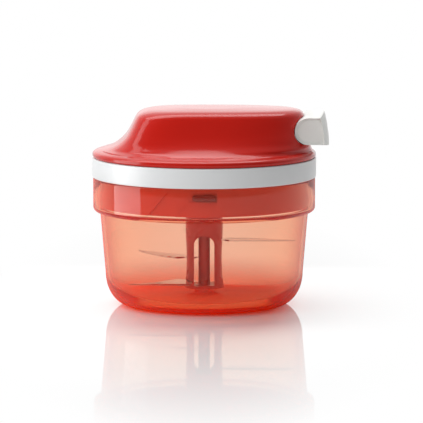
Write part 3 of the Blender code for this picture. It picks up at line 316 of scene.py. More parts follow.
# The bowl's plastic is clear, and its depth gives it the colour. A little haze is mixed in, more of it near
# the foot and where the wall is seen at a slant.
coral = Finish("clear coral plastic", {"Transmission Weight": 1.0, "IOR": 1.36})
flow = coral.noise(14.0, 2.0, (1.0, 1.0, 3.0))
coral.varies({
    "Base Color": coral.blended(flow, (1.0, 0.99, 0.98), (0.99, 0.975, 0.96)),
    "Roughness": 0.01 + 0.03 * coral.noise(60.0, 4.0),
})
haze_values = {"Base Color": (1.0, 0.07, 0.012, 1.0), "Roughness": 0.3, "Specular IOR Level": 0.0}
haze = coral.node("ShaderNodeBsdfPrincipled", {}, haze_values)
clear = Socket(coral, coral.shader.outputs[0])
height = coral.node("ShaderNodeSeparateXYZ", {}, (coral.place,), "Z")
milky = coral.node("ShaderNodeMapRange", {"interpolation_type": "SMOOTHSTEP"}, {
    "Value": height, "From Min": 4.0 * MM, "From Max": 24.0 * MM, "To Min": 0.34, "To Max": 0.05,
})
slant = coral.node("ShaderNodeLayerWeight", {}, {"Blend": 0.5}, "Facing")
slant = coral.node("ShaderNodeMapRange", {}, {"Value": slant, "From Min": 0.35, "From Max": 1.0})
body = coral.node("ShaderNodeMixShader", {}, (milky + 0.75 * slant * slant, clear, haze))
lets_light_in = coral.node("ShaderNodeBsdfTransparent", {}, {"Color": (1.0, 0.93, 0.90, 1.0)})
shadow = coral.node("ShaderNodeLightPath", output="Is Shadow Ray")
coral.shows(coral.node("ShaderNodeMixShader", {}, (shadow, body, lets_light_in)))
depth = {"Color": (0.9885, 0.42, 0.021, 1.0), "Density": 215.0}
coral.shows(coral.node("ShaderNodeVolumeAbsorption", {}, depth), "Volume")
coral.on(bowl)
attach(bowl, "bowl")
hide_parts("bowl")

# The lugs are the bowl's own clear plastic, but they get an opaque, much darker red: painted shade, standing
# in for the dark shadow bar at each lug.
lug_painted_shade = Finish("coral plastic darkened as painted shade")
lug_painted_shade.varies({
    "Base Color": lug_painted_shade.blended(lug_painted_shade.noise(40.0), (0.32, 0.013, 0.008), (0.27, 0.010, 0.006)),
    "Roughness": 0.22 + 0.08 * lug_painted_shade.noise(120.0, 4.0),
})
band_in = BAND_R - BAND_WALL
lug_half = LUG_WIDTH / 2.0 / band_in
lug_section = (band_in - LUG_REACH, band_in + 0.02 * MM, LUG_LOW_Z, LUG_HIGH_Z - LUG_TOP_GAP)
for i, lug_angle in enumerate(LUG_ANGLES):
    columns = [(lug_angle + lug_half * t / 6.0, *lug_section) for t in range(-6, 7)]
    lug = smooth(edges_eased(bent_block("chopper_bowl_lug_" + str(i + 1), columns), LUG_ROUND))
    lug_painted_shade.on(lug)
    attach(lug, "bowl")


# The pin: a polished steel pin pressed into the boss of the bowl's floor, with a round nose that the post
# turns on.
steel = Finish("ground stainless steel", {"Metallic": 1.0, "Roughness": 0.22})
brushing = steel.noise(90.0, 5.0, (1.0, 1.0, 14.0))
steel.varies({
    "Base Color": steel.blended(brushing, (0.62, 0.62, 0.64), (0.70, 0.70, 0.71)),
    "Roughness": 0.07 + 0.10 * brushing,
})
steel.bumped(brushing, 0.05, 0.00002)
steel.on(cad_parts["pivot_pin"])


# The blade post: a dark red moulding that stands over the pin. Its foot is a tube with an arched window in
# front and at the back, with the centre column behind them, and its head carries three dogs for the drive.
POST_LOW_Z = 8.1 * MM
POST_SHOULDER_Z = 66.4 * MM
POST_FOOT_R = 11.0 * MM
POST_WAIST_R = 9.8 * MM
POST_R = 10.4 * MM
POST_WALL = 2.1 * MM
POST_ROUND = 0.5 * MM
COLUMN_R = 3.2 * MM
WINDOW_WIDTH = 11.4 * MM
WINDOW_LOW_Z = 10.8 * MM
WINDOW_TOP_Z = 39.4 * MM
WINDOW_REACH = 14.0 * MM
COLUMN_GAP = 0.4 * MM
HEAD_CORE_R = 4.6 * MM
HEAD_R = 7.8 * MM
HEAD_TOP_Z = 74.4 * MM
PIN_TOP_Z = 22.0 * MM
DOG_ANGLES = [math.pi / 6.0 + math.tau * i / 3.0 for i in range(3)]
DOG_HALF = math.radians(12.0)
BLADE_T = 0.8 * MM
BLADE_TANG_WIDTH = 6.0 * MM
TANG_SLOT_X = 8.25 * MM
TANG_SLOT_DEPTH = 9.5 * MM
TANG_GAP = 0.3 * MM
UPPER_BLADE = {"z": 36.2 * MM, "turn": 0.0, "reach": 50.5 * MM, "pitch": 0.0}
MIDDLE_BLADE = {"z": 25.4 * MM, "turn": math.radians(145.0), "reach": 50.0 * MM, "pitch": 0.0}
LOWER_BLADE = {"z": 13.2 * MM, "turn": math.radians(215.0), "reach": 46.5 * MM, "pitch": math.radians(10.0)}


def across(name, outline, near, far):
    """A block along Y from its outline in X and Z."""
    return drawn_up(name, [[(x, y, z) for x, z in outline] for y in (near, far)])


def post_section():
    waist_z = (WINDOW_TOP_Z + WINDOW_LOW_Z) / 2.0
    taper_z = WINDOW_TOP_Z + 4.0 * MM
    bore = PIN_HOLE_R
    section = [(HEAD_CORE_R * 0.5, HEAD_TOP_Z)]
    section += bend((HEAD_CORE_R - 0.8 * MM, HEAD_TOP_Z - 0.8 * MM), 0.8 * MM, 90, 0, 4)
    section += [(HEAD_CORE_R, POST_SHOULDER_Z)]
    section += bend((POST_R - 1.0 * MM, POST_SHOULDER_Z - 1.0 * MM), 1.0 * MM, 90, 0, 5)
    section += [(POST_R, 56.0 * MM), (POST_R, taper_z)]
    for t in (0.25, 0.5, 0.75, 1.0):
        ease = t * t * (3.0 - 2.0 * t)
        section.append((POST_R + (POST_WAIST_R - POST_R) * ease, taper_z + (waist_z - taper_z) * t))
    section += [(POST_WAIST_R + 0.3 * MM, WINDOW_LOW_Z + 5.0 * MM), (POST_FOOT_R, WINDOW_LOW_Z)]
    section += bend((POST_FOOT_R - 0.5 * MM, POST_LOW_Z + 0.5 * MM), 0.5 * MM, 0, -90, 3)
    section += [(bore, POST_LOW_Z), (bore, PIN_TOP_Z + 2.0 * MM), (bore * 0.3, PIN_TOP_Z + 3.7 * MM)]
    return section


post = turned("chopper_post", post_section(), 96)
hollow_r = POST_WAIST_R - POST_WALL
hollow = [
    (COLUMN_R, WINDOW_TOP_Z + 1.0 * MM), (hollow_r, WINDOW_TOP_Z + 1.0 * MM),
    (hollow_r, WINDOW_LOW_Z), (COLUMN_R, WINDOW_LOW_Z),
]
merged(post, turned("post hollow", hollow, 96, joined=True), "DIFFERENCE")
half = WINDOW_WIDTH / 2.0
arch = [(-half, WINDOW_LOW_Z), (half, WINDOW_LOW_Z), *bend((0.0, WINDOW_TOP_Z - half), half, 0, 180, 32)]
column_y = COLUMN_R + COLUMN_GAP
for near, far in ((-WINDOW_REACH, -column_y), (column_y, WINDOW_REACH)):
    merged(post, across("post window", arch, near, far), "DIFFERENCE")
edges_eased(post, POST_ROUND)
for blade in (UPPER_BLADE, MIDDLE_BLADE, LOWER_BLADE):
    wide, high = BLADE_TANG_WIDTH / 2.0 + TANG_GAP, BLADE_T / 2.0 + TANG_GAP
    bpy.ops.object.select_all(action="DESELECT")
    bpy.ops.mesh.primitive_cube_add(size=1.0)
    tang_slot = bpy.context.object
    for vertex in tang_slot.data.vertices:
        x, y, z = vertex.co
        vertex.co = (TANG_SLOT_X + x * TANG_SLOT_DEPTH, y * 2.0 * wide, z * 2.0 * high)
    tang_slot.rotation_euler = (-blade["pitch"], 0.0, blade["turn"])
    tang_slot.location = (0.0, 0.0, blade["z"])
    merged(post, tang_slot, "DIFFERENCE")
dog_section = (HEAD_CORE_R - 1.0 * MM, HEAD_R, POST_SHOULDER_Z - 0.5 * MM, HEAD_TOP_Z - 0.02 * MM)
for dog_angle in DOG_ANGLES:
    columns = [(dog_angle + DOG_HALF * t, *dog_section) for t in (-1.0, -0.5, 0.0, 0.5, 1.0)]
    merged(post, bent_block("post dog", columns))
smooth(post)

dark_red = Finish("dark red plastic", {"Specular IOR Level": 0.5})
dark_red.varies({
    "Base Color": dark_red.blended(dark_red.noise(30.0), (0.60, 0.013, 0.009), (0.54, 0.011, 0.008)),
    "Roughness": 0.24 + 0.08 * dark_red.noise(120.0, 4.0),
})
dark_red.on(post)
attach(post, "blades")
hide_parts("blade_post")


# The blades: three stamped and ground stainless blades, held in the post's wall by their tangs. Each has a
# straight back and a wavy edge that leads; the lowest one is twisted at its root.
BLADE_ROOT_R = 6.0 * MM
BLADE_NECK_R = 11.6 * MM
BLADE_SHOULDER_R = 14.0 * MM
BLADE_BACK_Y = -5.5 * MM
BLADE_WIDTH = 12.5 * MM
EDGE_WAVES = 6
WAVE_DEPTH = 0.4 * MM
GRIND_WIDTH = 1.6 * MM
UNTWIST_R = 32.0 * MM


def blade_outline(reach):
    half_tang = BLADE_TANG_WIDTH / 2.0
    outline = [(BLADE_ROOT_R, -half_tang), (BLADE_NECK_R, -half_tang), (BLADE_SHOULDER_R, BLADE_BACK_Y)]
    span = reach - BLADE_SHOULDER_R
    outline += [(BLADE_SHOULDER_R + span * t, BLADE_BACK_Y) for t in (0.15, 0.3, 0.5, 0.75, 1.0)]
    steps = EDGE_WAVES * 12
    for i in range(1, steps + 1):
        t = 1.0 - i / steps
        wave = WAVE_DEPTH * math.sin(math.tau * EDGE_WAVES * t)
        outline.append((BLADE_SHOULDER_R + span * t, BLADE_BACK_Y + BLADE_WIDTH * (1.0 - t ** 1.8) + wave))
    return outline + [(BLADE_NECK_R, half_tang), (BLADE_ROOT_R, half_tang)]


def blade_piece(name, blade):
    c, s = math.cos(blade["turn"]), math.sin(blade["turn"])
    rings = []
    for level, ground in ((-0.5, 0.0), (-0.2, 0.0), (0.5, GRIND_WIDTH)):
        ring = []
        for x, y in blade_outline(blade["reach"]):
            inward = 0.0
            if x > BLADE_NECK_R:
                inward = ground * min(1.0, max(0.0, y - BLADE_BACK_Y) / BLADE_WIDTH * 2.0)
            twist = blade["pitch"] * max(0.0, min(1.0, (UNTWIST_R - x) / (UNTWIST_R - BLADE_NECK_R)))
            y -= inward
            z = level * BLADE_T - math.tan(twist) * y
            ring.append((x * c - y * s, x * s + y * c, z + blade["z"]))
        rings.append(ring)
    return smooth(drawn_up(name, rings), 20.0)


blades = {"upper_blade": UPPER_BLADE, "middle_blade": MIDDLE_BLADE, "lower_blade": LOWER_BLADE}
for node, blade in blades.items():
    piece = steel.on(blade_piece("chopper_" + node, blade))
    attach(piece, "blades")
    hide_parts(node)


# The base plate: the red underside of the cover. Its skirt hangs inside the bowl's band, and three tracks
# moulded into the skirt catch the bowl's lugs. A collar in the middle holds the bronze bush.
SKIRT_R = 58.6 * MM
SKIRT_T = 2.7 * MM
SKIRT_LOW_Z = 55.8 * MM
TRACK_DEPTH = 1.5 * MM
TRACK_RISE = math.tan(math.radians(48.0))
TRACK_GAP = 0.6 * MM
LOCK_TURN = math.radians(13.0)
PLATE_LOW_Z = 68.0 * MM
PLATE_TOP_Z = 70.2 * MM
LIP_R = 60.0 * MM
LIP_LOW_Z = 71.8 * MM
LIP_TOP_Z = 74.0 * MM
COLLAR_R = 12.3 * MM
COLLAR_WALL = 2.0 * MM
COLLAR_LOW_Z = 66.2 * MM
COLLAR_TOP_Z = 76.0 * MM
PLATE_ROUND = 0.35 * MM
SCREW_HOLE_R = 1.8 * MM
SCREW_CIRCLE_R = 47.0 * MM
BASE_SCREW_ANGLES = {
    "base_screw_front_left": 225.0,
    "base_screw_front_right": 315.0,
    "base_screw_back_right": 45.0,
    "base_screw_back_left": 135.0,
}


def plate_section():
    skirt_in = SKIRT_R - SKIRT_T
    collar_out = COLLAR_R + COLLAR_WALL
    section = [(COLLAR_R, COLLAR_LOW_Z + 0.3 * MM), (COLLAR_R, COLLAR_TOP_Z - 0.3 * MM)]
    section += [(COLLAR_R + 0.3 * MM, COLLAR_TOP_Z), (collar_out - 0.3 * MM, COLLAR_TOP_Z)]
    section += [(collar_out, COLLAR_TOP_Z - 0.3 * MM)]
    section += bend((collar_out + 0.8 * MM, PLATE_TOP_Z + 0.8 * MM), 0.8 * MM, 180, 270, 4)
    section += [(skirt_in - 0.4 * MM, PLATE_TOP_Z), (skirt_in + 0.5 * MM, LIP_TOP_Z - 0.2 * MM)]
    section += [(skirt_in + 0.8 * MM, LIP_TOP_Z), (LIP_R - 0.3 * MM, LIP_TOP_Z)]
    section += [(LIP_R, LIP_TOP_Z - 0.3 * MM), (LIP_R, LIP_LOW_Z + 0.3 * MM)]
    section += [(LIP_R - 0.3 * MM, LIP_LOW_Z), (SKIRT_R, LIP_LOW_Z)]
    section += bend((SKIRT_R - 0.6 * MM, SKIRT_LOW_Z + 0.6 * MM), 0.6 * MM, 0, -90, 4)
    section += bend((skirt_in + 0.6 * MM, SKIRT_LOW_Z + 0.6 * MM), 0.6 * MM, -90, -180, 4)
    section += bend((skirt_in - 1.8 * MM, PLATE_LOW_Z - 1.8 * MM), 1.8 * MM, 0, 90, 6)
    section += [(collar_out + 0.4 * MM, PLATE_LOW_Z), (collar_out, PLATE_LOW_Z - 0.4 * MM)]
    section += [(collar_out - 0.3 * MM, COLLAR_LOW_Z), (COLLAR_R + 0.3 * MM, COLLAR_LOW_Z)]
    return section


def track_columns(lug_angle):
    """The track's sections round the skirt: a level seat for the lug, then a ramp down to the edge."""
    top = LUG_HIGH_Z + TRACK_GAP
    sill = LUG_LOW_Z - TRACK_GAP
    bottom = SKIRT_LOW_Z - 5.0 * MM
    closed_end = LUG_WIDTH / 2.0 + TRACK_GAP
    far_corner = -LOCK_TURN * SKIRT_R - LUG_WIDTH / 2.0 - TRACK_GAP
    lug_run = LUG_WIDTH + (LUG_HIGH_Z - LUG_LOW_Z) / TRACK_RISE + TRACK_GAP
    sill_end = far_corner - (top - sill) / TRACK_RISE + lug_run
    first = far_corner - (top - bottom) / TRACK_RISE
    entry_end = sill_end - (sill - bottom) / TRACK_RISE
    marks = sorted({first + 0.1 * MM, entry_end, far_corner, sill_end, closed_end})
    places = []
    for a, b in zip(marks, marks[1:]):
        pieces = max(1, math.ceil((b - a) / (1.5 * MM)))
        places += [a + (b - a) * i / pieces for i in range(pieces)]
    places.append(marks[-1])
    columns = []
    for s in places:
        high = top - max(0.0, far_corner - s) * TRACK_RISE
        low = max(bottom, sill - max(0.0, sill_end - s) * TRACK_RISE)
        columns.append((lug_angle + s / SKIRT_R, SKIRT_R - TRACK_DEPTH, SKIRT_R + 5.0 * MM, low, high))
    return columns


plate = turned("chopper_base_plate", plate_section(), 180, joined=True)
for lug_angle in LUG_ANGLES:
    merged(plate, bent_block("bayonet track", track_columns(lug_angle)), "DIFFERENCE")
for degrees in BASE_SCREW_ANGLES.values():
    a = math.radians(degrees)
    middle = (SCREW_CIRCLE_R * math.cos(a), SCREW_CIRCLE_R * math.sin(a))
    hole = [(SCREW_HOLE_R, PLATE_LOW_Z - 1.0 * MM), (SCREW_HOLE_R, PLATE_TOP_Z + 1.0 * MM)]
    merged(plate, turned("screw hole", hole, 32, middle=middle), "DIFFERENCE")
edges_eased(plate, PLATE_ROUND)
smooth(plate)

bright_red = Finish("orange red plastic", {"Specular IOR Level": 0.3})
mottle = bright_red.noise(20.0, 2.0)
bright_red.varies({
    "Base Color": bright_red.blended(mottle, (0.86, 0.055, 0.018), (0.80, 0.048, 0.015)),
    "Roughness": 0.16 + 0.06 * bright_red.noise(90.0, 4.0),
})
bright_red.on(plate)
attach(plate, "cover")
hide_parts("base_plate")


# The trim ring: a plain white ring clamped between the base plate and the top cover. It hides their joint
# and gives the hand a grip when the cover is turned.
TRIM_R = 62.5 * MM
TRIM_H = 11.0 * MM
TRIM_LIP_T = 1.4 * MM
TRIM_LIP_R = 58.9 * MM
TRIM_ROUND = 0.6 * MM
trim_in = LIP_R + 0.3 * MM
trim_low = LIP_LOW_Z
shelf_low = LIP_TOP_Z + 0.3 * MM
trim_section = [(trim_in + 0.2 * MM, trim_low + TRIM_H)]
trim_section += bend((TRIM_R - TRIM_ROUND, trim_low + TRIM_H - TRIM_ROUND), TRIM_ROUND, 90, 0, 5)
trim_section += [(TRIM_R, trim_low + TRIM_H * 0.5)]
trim_section += bend((TRIM_R - TRIM_ROUND, trim_low + TRIM_ROUND), TRIM_ROUND, 0, -90, 5)
trim_section += [(trim_in, trim_low), (trim_in, shelf_low), (TRIM_LIP_R, shelf_low)]
trim_section += [(TRIM_LIP_R, shelf_low + TRIM_LIP_T), (trim_in, shelf_low + TRIM_LIP_T)]
trim_section += [(trim_in, trim_low + TRIM_H - 0.2 * MM)]
trim = smooth(turned("chopper_trim_ring", trim_section, 180, joined=True))
white = Finish("white plastic", {"Specular IOR Level": 0.5})
white.varies({
    "Base Color": white.blended(white.noise(25.0, 2.0), (0.86, 0.875, 0.88), (0.82, 0.835, 0.84)),
    "Roughness": 0.30 + 0.08 * white.noise(140.0, 4.0),
})
white.bumped(white.noise(420.0, 2.0), 0.06, 0.00003)
white.on(trim)
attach(trim, "cover")
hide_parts("trim_ring")


# The top cover: a glossy red shell with a rounded rim. A hump with a hollowed foot stands on it over the cord
# drum, and its nose is cut away by a scoop that the pull grip nests in. Each level of the skin has a height,
# its reach to each side, its half width, and how square each end is.
RIM_LEVELS = [
    (83.1, 61.9, 61.9, 61.9, 2.0, 2.0),
    (84.0, 62.4, 62.4, 62.4, 2.0, 2.0),
    (85.1, 62.3, 62.3, 62.3, 2.0, 2.0),
    (86.1, 61.4, 61.6, 61.2, 2.0, 2.0),
    (86.7, 59.6, 60.6, 59.2, 2.0, 2.0),
]
HUMP_LEVELS = [
    (87.1, 57.8, 60.3, 47.5, 2.7, 2.1),
    (88.2, 53.6, 59.9, 45.2, 2.6, 2.2),
    (89.6, 50.4, 59.5, 42.8, 2.9, 2.4),
    (92.2, 46.7, 58.9, 39.4, 3.4, 2.5),
    (96.0, 43.2, 58.1, 36.0, 4.0, 2.6),
    (100.5, 40.6, 57.2, 32.8, 4.2, 2.6),
    (105.0, 38.4, 56.2, 29.9, 4.0, 2.6),
    (107.4, 36.4, 55.2, 28.0, 3.8, 2.6),
    (109.0, 32.8, 53.0, 25.2, 3.4, 2.5),
    (109.9, 27.0, 47.0, 20.5, 3.0, 2.4),
    (110.5, 14.0, 26.0, 11.0, 2.4, 2.2),
]
FOOT_LIMIT = (57.8, 60.3, 57.8, 2.0, 2.0)
COVER_RAYS = 216
COVER_WALL = 2.2 * MM
SPIGOT_R = 59.9 * MM
SPIGOT_LOW_Z = 76.3 * MM
SPACE_SHELF_Z = 84.2 * MM
SCOOP_X = 49.8 * MM
SCOOP_R = 7.8 * MM
SCOOP_Z = 98.9 * MM
SCOOP_WALL = 2.0 * MM
SCOOP_OPEN_X = 80.0 * MM
SCOOP_HALF_Y = 70.0 * MM
CORD_Z = 99.0 * MM
CORD_HOLE_R = 3.1 * MM
EYELET_SEAT_R = 4.3 * MM


def eased(levels, steps):
    """Levels between the given ones, on a smooth curve that never swings past them."""
    slopes = []
    for i, level in enumerate(levels):
        before, after = levels[max(i - 1, 0)], levels[min(i + 1, len(levels) - 1)]
        slope = []
        for a, b, c in zip(before, level, after):
            turns_back = (b - a) * (c - b) < 0.0
            limit = 3.0 * min(abs(b - a), abs(c - b)) if 0 < i < len(levels) - 1 else abs(c - a)
            wanted = (c - a) / 2.0 if 0 < i < len(levels) - 1 else c - a
            slope.append(0.0 if turns_back else max(-limit, min(limit, wanted)))
        slopes.append(slope)
    fine = []
    for i in range(len(levels) - 1):
        for step in range(steps):
            t = step / steps
            h1, h2 = 2 * t ** 3 - 3 * t ** 2 + 1, t ** 3 - 2 * t ** 2 + t
            h3, h4 = -2 * t ** 3 + 3 * t ** 2, t ** 3 - t ** 2
            fine.append([
                h1 * a + h2 * m + h3 * b + h4 * n
                for a, m, b, n in zip(levels[i], slopes[i], levels[i + 1], slopes[i + 1])
            ])
    return fine + [list(levels[-1])]


def outline_r(a, left, right, half, square_left, square_right):
    """How far an outline reaches from the axis, in the direction of an angle."""
    reach, square = (right, square_right) if math.cos(a) > 0.0 else (left, square_left)
    total = abs(math.cos(a) / (reach * MM)) ** square + abs(math.sin(a) / (half * MM)) ** square
    return total ** (-1.0 / square)


def level_ring(level, inset=0.0, shrink=1.0):
    ring = []
    for i in range(COVER_RAYS):
        a = math.tau * i / COVER_RAYS
        r = outline_r(a, *level[1:])
        if level[0] >= HUMP_LEVELS[0][0]:
            r = min(r, outline_r(a, *FOOT_LIMIT))
        r = (r - inset) * shrink
        ring.append((r * math.cos(a), r * math.sin(a), level[0] * MM - inset))
    return ring


def scoop(name, wall):
    """The round trough that the grip nests in. With a wall it is larger by the plastic round it."""
    r = SCOOP_R + wall
    outline = [(SCOOP_OPEN_X, SCOOP_Z - r), (SCOOP_OPEN_X, SCOOP_Z + r)]
    outline += bend((SCOOP_X + SCOOP_R, SCOOP_Z), r, 90, 270, 48)
    return across(name, outline, -SCOOP_HALF_Y, SCOOP_HALF_Y)


def bored(piece, radius, low, high):
    """Bore a hole through a piece along X, at the cord's height."""
    bpy.ops.object.select_all(action="DESELECT")
    bpy.ops.mesh.primitive_cylinder_add(
        vertices=48, radius=radius, depth=high - low, location=((low + high) / 2.0, 0.0, CORD_Z),
        rotation=(0.0, math.pi / 2.0, 0.0),
    )
    return merged(piece, bpy.context.object, "DIFFERENCE")


skin = [round_ring(SPIGOT_R, z, COVER_RAYS) for z in (SPIGOT_LOW_Z, RIM_LEVELS[0][0] * MM)]
skin += [level_ring(level) for level in eased(RIM_LEVELS, 5)]
rim, foot = level_ring(RIM_LEVELS[-1]), level_ring(HUMP_LEVELS[0])
for t in (0.04, 0.35, 0.65, 0.96):
    skin.append([tuple(Vector(a).lerp(Vector(b), t)) for a, b in zip(rim, foot)])
skin += [level_ring(level) for level in eased(HUMP_LEVELS, 6)]
skin += [level_ring(HUMP_LEVELS[-1], shrink=share) for share in (0.7, 0.4, 0.15)]
cover = drawn_up("chopper_top_cover", skin)
space_levels = (SPIGOT_LOW_Z - 2.0 * MM, SPACE_SHELF_Z)
space_rings = [round_ring(SPIGOT_R - COVER_WALL, z, COVER_RAYS) for z in space_levels]
space_rings += [level_ring(level, COVER_WALL) for level in eased(HUMP_LEVELS, 3)]
space = drawn_up("cover space", space_rings)
merged(space, scoop("scoop wall", SCOOP_WALL), "DIFFERENCE")
merged(cover, scoop("scoop", 0.0), "DIFFERENCE")
merged(cover, space, "DIFFERENCE")
bored(cover, CORD_HOLE_R, SCOOP_X - 5.0 * MM, SCOOP_X + 3.0 * MM)
bored(cover, EYELET_SEAT_R, SCOOP_X, SCOOP_X + SCOOP_R)
smooth(cover, 20.0)

red = Finish("glossy red plastic", {"Specular IOR Level": 0.3})
red.varies({
    "Base Color": red.blended(red.noise(20.0, 2.0), (0.60, 0.012, 0.005), (0.55, 0.010, 0.004)),
    "Roughness": 0.10 + 0.05 * red.noise(90.0, 4.0),
})
red.bumped(red.noise(220.0, 3.0), 0.03, 0.00001)
red.on(cover)
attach(cover, "cover")
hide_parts("top_cover")


# The drive inside the cover: a steel axle, an acetal cord drum and one-way driver, a spiral recoil spring in
# its housing, a bronze bush, a wave spring and the screws that hold them. The wave spring, which is pressed
# flat when the driver drops, gets a mesh of its own.
acetal = Finish("natural acetal", {"Specular IOR Level": 0.4})
acetal.varies({
    "Base Color": acetal.blended(acetal.noise(40.0, 3.0), (0.80, 0.79, 0.74), (0.75, 0.74, 0.69)),
    "Roughness": 0.42 + 0.1 * acetal.noise(160.0, 3.0),
})
acetal.bumped(acetal.noise(300.0, 2.0), 0.08, 0.00003)
bronze = Finish("sintered bronze", {"Metallic": 1.0})
bronze.varies({
    "Base Color": bronze.blended(bronze.noise(400.0, 2.0), (0.55, 0.36, 0.17), (0.42, 0.26, 0.12)),
    "Roughness": 0.36 + 0.14 * bronze.noise(300.0, 3.0),
})
bronze.bumped(bronze.noise(900.0, 2.0), 0.25, 0.00004)
for node in ("cord_drum", "clutch_driver", "spring_housing"):
    acetal.on(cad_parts[node])
bronze.on(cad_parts["shaft_bush"])
for node in ("drum_axle", "drum_washer", "drum_screw", "recoil_spring", "wave_spring", "cord_eyelet"):
    steel.on(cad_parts[node])
for node in list(BASE_SCREW_ANGLES) + ["housing_screw_1", "housing_screw_2", "housing_screw_3"]:
    steel.on(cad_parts[node])
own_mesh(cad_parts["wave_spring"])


# The cord: braided nylon, wound three times round the drum, led out through the eyelet and knotted in the
# grip.
CORD_R = 1.0 * MM
WINDING_R = 16.8 * MM
WINDING_TURNS = 3
WINDING_PITCH = 2.6 * MM
WINDING_TOP_Z = 101.6 * MM
TURN_STEPS = 48
CORD_BEND = 7.0 * MM
KNOT_POCKET_X = 61.5 * MM
KNOT_R = 2.55 * MM
KNOT_GAP = 0.35 * MM

guide = Vector((SCOOP_X - SCOOP_WALL, 0.0, CORD_Z))
leave = -math.acos(WINDING_R / guide.x)
tangent = Vector((-math.sin(leave), math.cos(leave), 0.0))


def tube(name, points, sides=16):
    """A tube along points, as a mesh of rings square to the route."""
    rings = []
    normal = None
    for i, point in enumerate(points):
        ahead = points[min(i + 1, len(points) - 1)] - points[max(i - 1, 0)]
        ahead.normalize()
        if normal is None:
            normal = Vector((0.0, 0.0, 1.0)).cross(ahead).normalized()
        normal = (normal - ahead * normal.dot(ahead)).normalized()
        side = ahead.cross(normal)
        turns = [math.tau * j / sides for j in range(sides)]
        rings.append([tuple(point + CORD_R * (math.cos(a) * normal + math.sin(a) * side)) for a in turns])
    return smooth(drawn_up(name, rings), 60.0)


wound = []
for i in range(WINDING_TURNS * TURN_STEPS, -1, -1):
    turn = math.tau * i / TURN_STEPS
    a = leave - turn
    z = WINDING_TOP_Z - WINDING_PITCH * turn / math.tau
    wound.append(Vector((WINDING_R * math.cos(a), WINDING_R * math.sin(a), z)))
wound.append(wound[-1] + tangent * 2.0 * CORD_R)
braid = Finish("braided nylon", {"Specular IOR Level": 0.3})
braid_weave = braid.node("ShaderNodeTexVoronoi", {}, {"Vector": braid.place, "Scale": 1400.0})
braid.varies({
    "Base Color": braid.blended(braid_weave, (0.90, 0.89, 0.86), (0.70, 0.69, 0.65)),
    "Roughness": 0.7 + 0.15 * braid_weave,
})
braid.bumped(braid_weave, 0.6, 0.0002)
winding = braid.on(tube("chopper_cord_winding", wound))
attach(winding, "drum")
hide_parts("cord_winding")

start = wound[-1] + tangent * 0.3 * MM
straight = start + tangent * 2.0 * CORD_R
end = Vector((KNOT_POCKET_X, 0.0, CORD_Z))
bend_in = guide - Vector((CORD_BEND, 0.0, 0.0))
corner = guide - tangent * CORD_BEND + Vector((0.0, 0.0, (WINDING_TOP_Z - CORD_Z) * 0.1))
route = [start, straight] + [straight.lerp(corner, i / 12.0) for i in range(1, 13)]
halfway = bend_in.lerp(guide, 0.5)
for i in range(1, 10):
    t = i / 10.0
    route.append(corner.lerp(halfway, t).lerp(halfway.lerp(guide, t), t))
route += [guide.lerp(end, i / 12.0) for i in range(13)]
run = braid.on(tube("chopper_cord_run", route))
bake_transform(run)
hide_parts("cord_run")

bpy.ops.object.select_all(action="DESELECT")
bpy.ops.mesh.primitive_ico_sphere_add(subdivisions=4, radius=1.0)
knot = bpy.context.object
knot.name = "chopper_cord_knot"
knot_middle = Vector((KNOT_POCKET_X + KNOT_GAP + KNOT_R, 0.0, CORD_Z))
for vertex in knot.data.vertices:
    way = vertex.co.normalized()
    lobes = 1.0 - 0.10 * (0.5 + 0.5 * math.sin(3.0 * math.atan2(way.z, way.y) + 4.0 * way.x))
    vertex.co = knot_middle + way * KNOT_R * lobes
smooth(knot, 60.0)
braid.on(knot)
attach(knot, "pull")
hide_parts("cord_knot")


# The pull grip: a warm white moulding with a round back that fits the scoop, a neck, and a flared lip with a
# bowed outer face. A small plug closes the pocket of the knot.
GRIP_BACK_X = 50.2 * MM
GRIP_FACE_X = 68.4 * MM
GRIP_BOW = 3.2 * MM
GRIP_HALF_WIDTH = 22.0 * MM
GRIP_BODY_HALF_H = 7.4 * MM
GRIP_LIP_TOP = 9.8 * MM
GRIP_LIP_LOW = 9.0 * MM
GRIP_LIP_END = 7.4 * MM
GRIP_NECK_X = 61.0 * MM
GRIP_LIP_T = 2.2 * MM
GRIP_CROWN = 0.6 * MM
GRIP_END_ROUND = 1.6 * MM
GRIP_END_SHARE = 0.84
GRIP_BORE_R = 1.6 * MM
GRIP_BORE_FROM_X = 48.0 * MM
KNOT_POCKET_R = 3.6 * MM
KNOT_POCKET_OPEN_X = 74.0 * MM
GRIP_LEAN = math.tan(math.radians(8.4))


def grip_ring(y, shrink):
    """The grip's section at a place along its width: the bowed face, the lip, the neck and the round back."""
    off = abs(y) / GRIP_HALF_WIDTH
    body = GRIP_BODY_HALF_H
    top = GRIP_LIP_TOP + (GRIP_LIP_END - GRIP_LIP_TOP) * off ** 2
    low = GRIP_LIP_LOW + (GRIP_LIP_END - GRIP_LIP_LOW) * off ** 2
    face = GRIP_FACE_X - GRIP_BOW * off ** 2
    middle = GRIP_BACK_X + body
    outline = []
    for i in range(13):
        t = -1.0 + i / 6.0
        reach = top if t > 0.0 else low
        outline.append((face - GRIP_LEAN * reach * t + GRIP_CROWN * (1.0 - t * t), reach * t))
    outline.append((face - GRIP_LEAN * top - GRIP_LIP_T * 0.5, top))
    for i in range(1, 9):
        t = i / 8.0
        ease = t * t * (3.0 - 2.0 * t)
        x = face - GRIP_LEAN * top - GRIP_LIP_T * 0.5
        outline.append((x + (GRIP_NECK_X - x) * t, top + (body - top) * ease ** 0.6))
    outline += bend((middle, 0.0), body, 90, 270, 32)
    for i in range(1, 9):
        t = 1.0 - i / 8.0
        ease = t * t * (3.0 - 2.0 * t)
        x = face + GRIP_LEAN * low - GRIP_LIP_T * 0.5
        outline.append((x + (GRIP_NECK_X - x) * t, -low - (body - low) * ease ** 0.6))
    centre = (middle + face) / 2.0
    return [(centre + (x - centre) * shrink, y, CORD_Z + z * shrink) for x, z in outline]


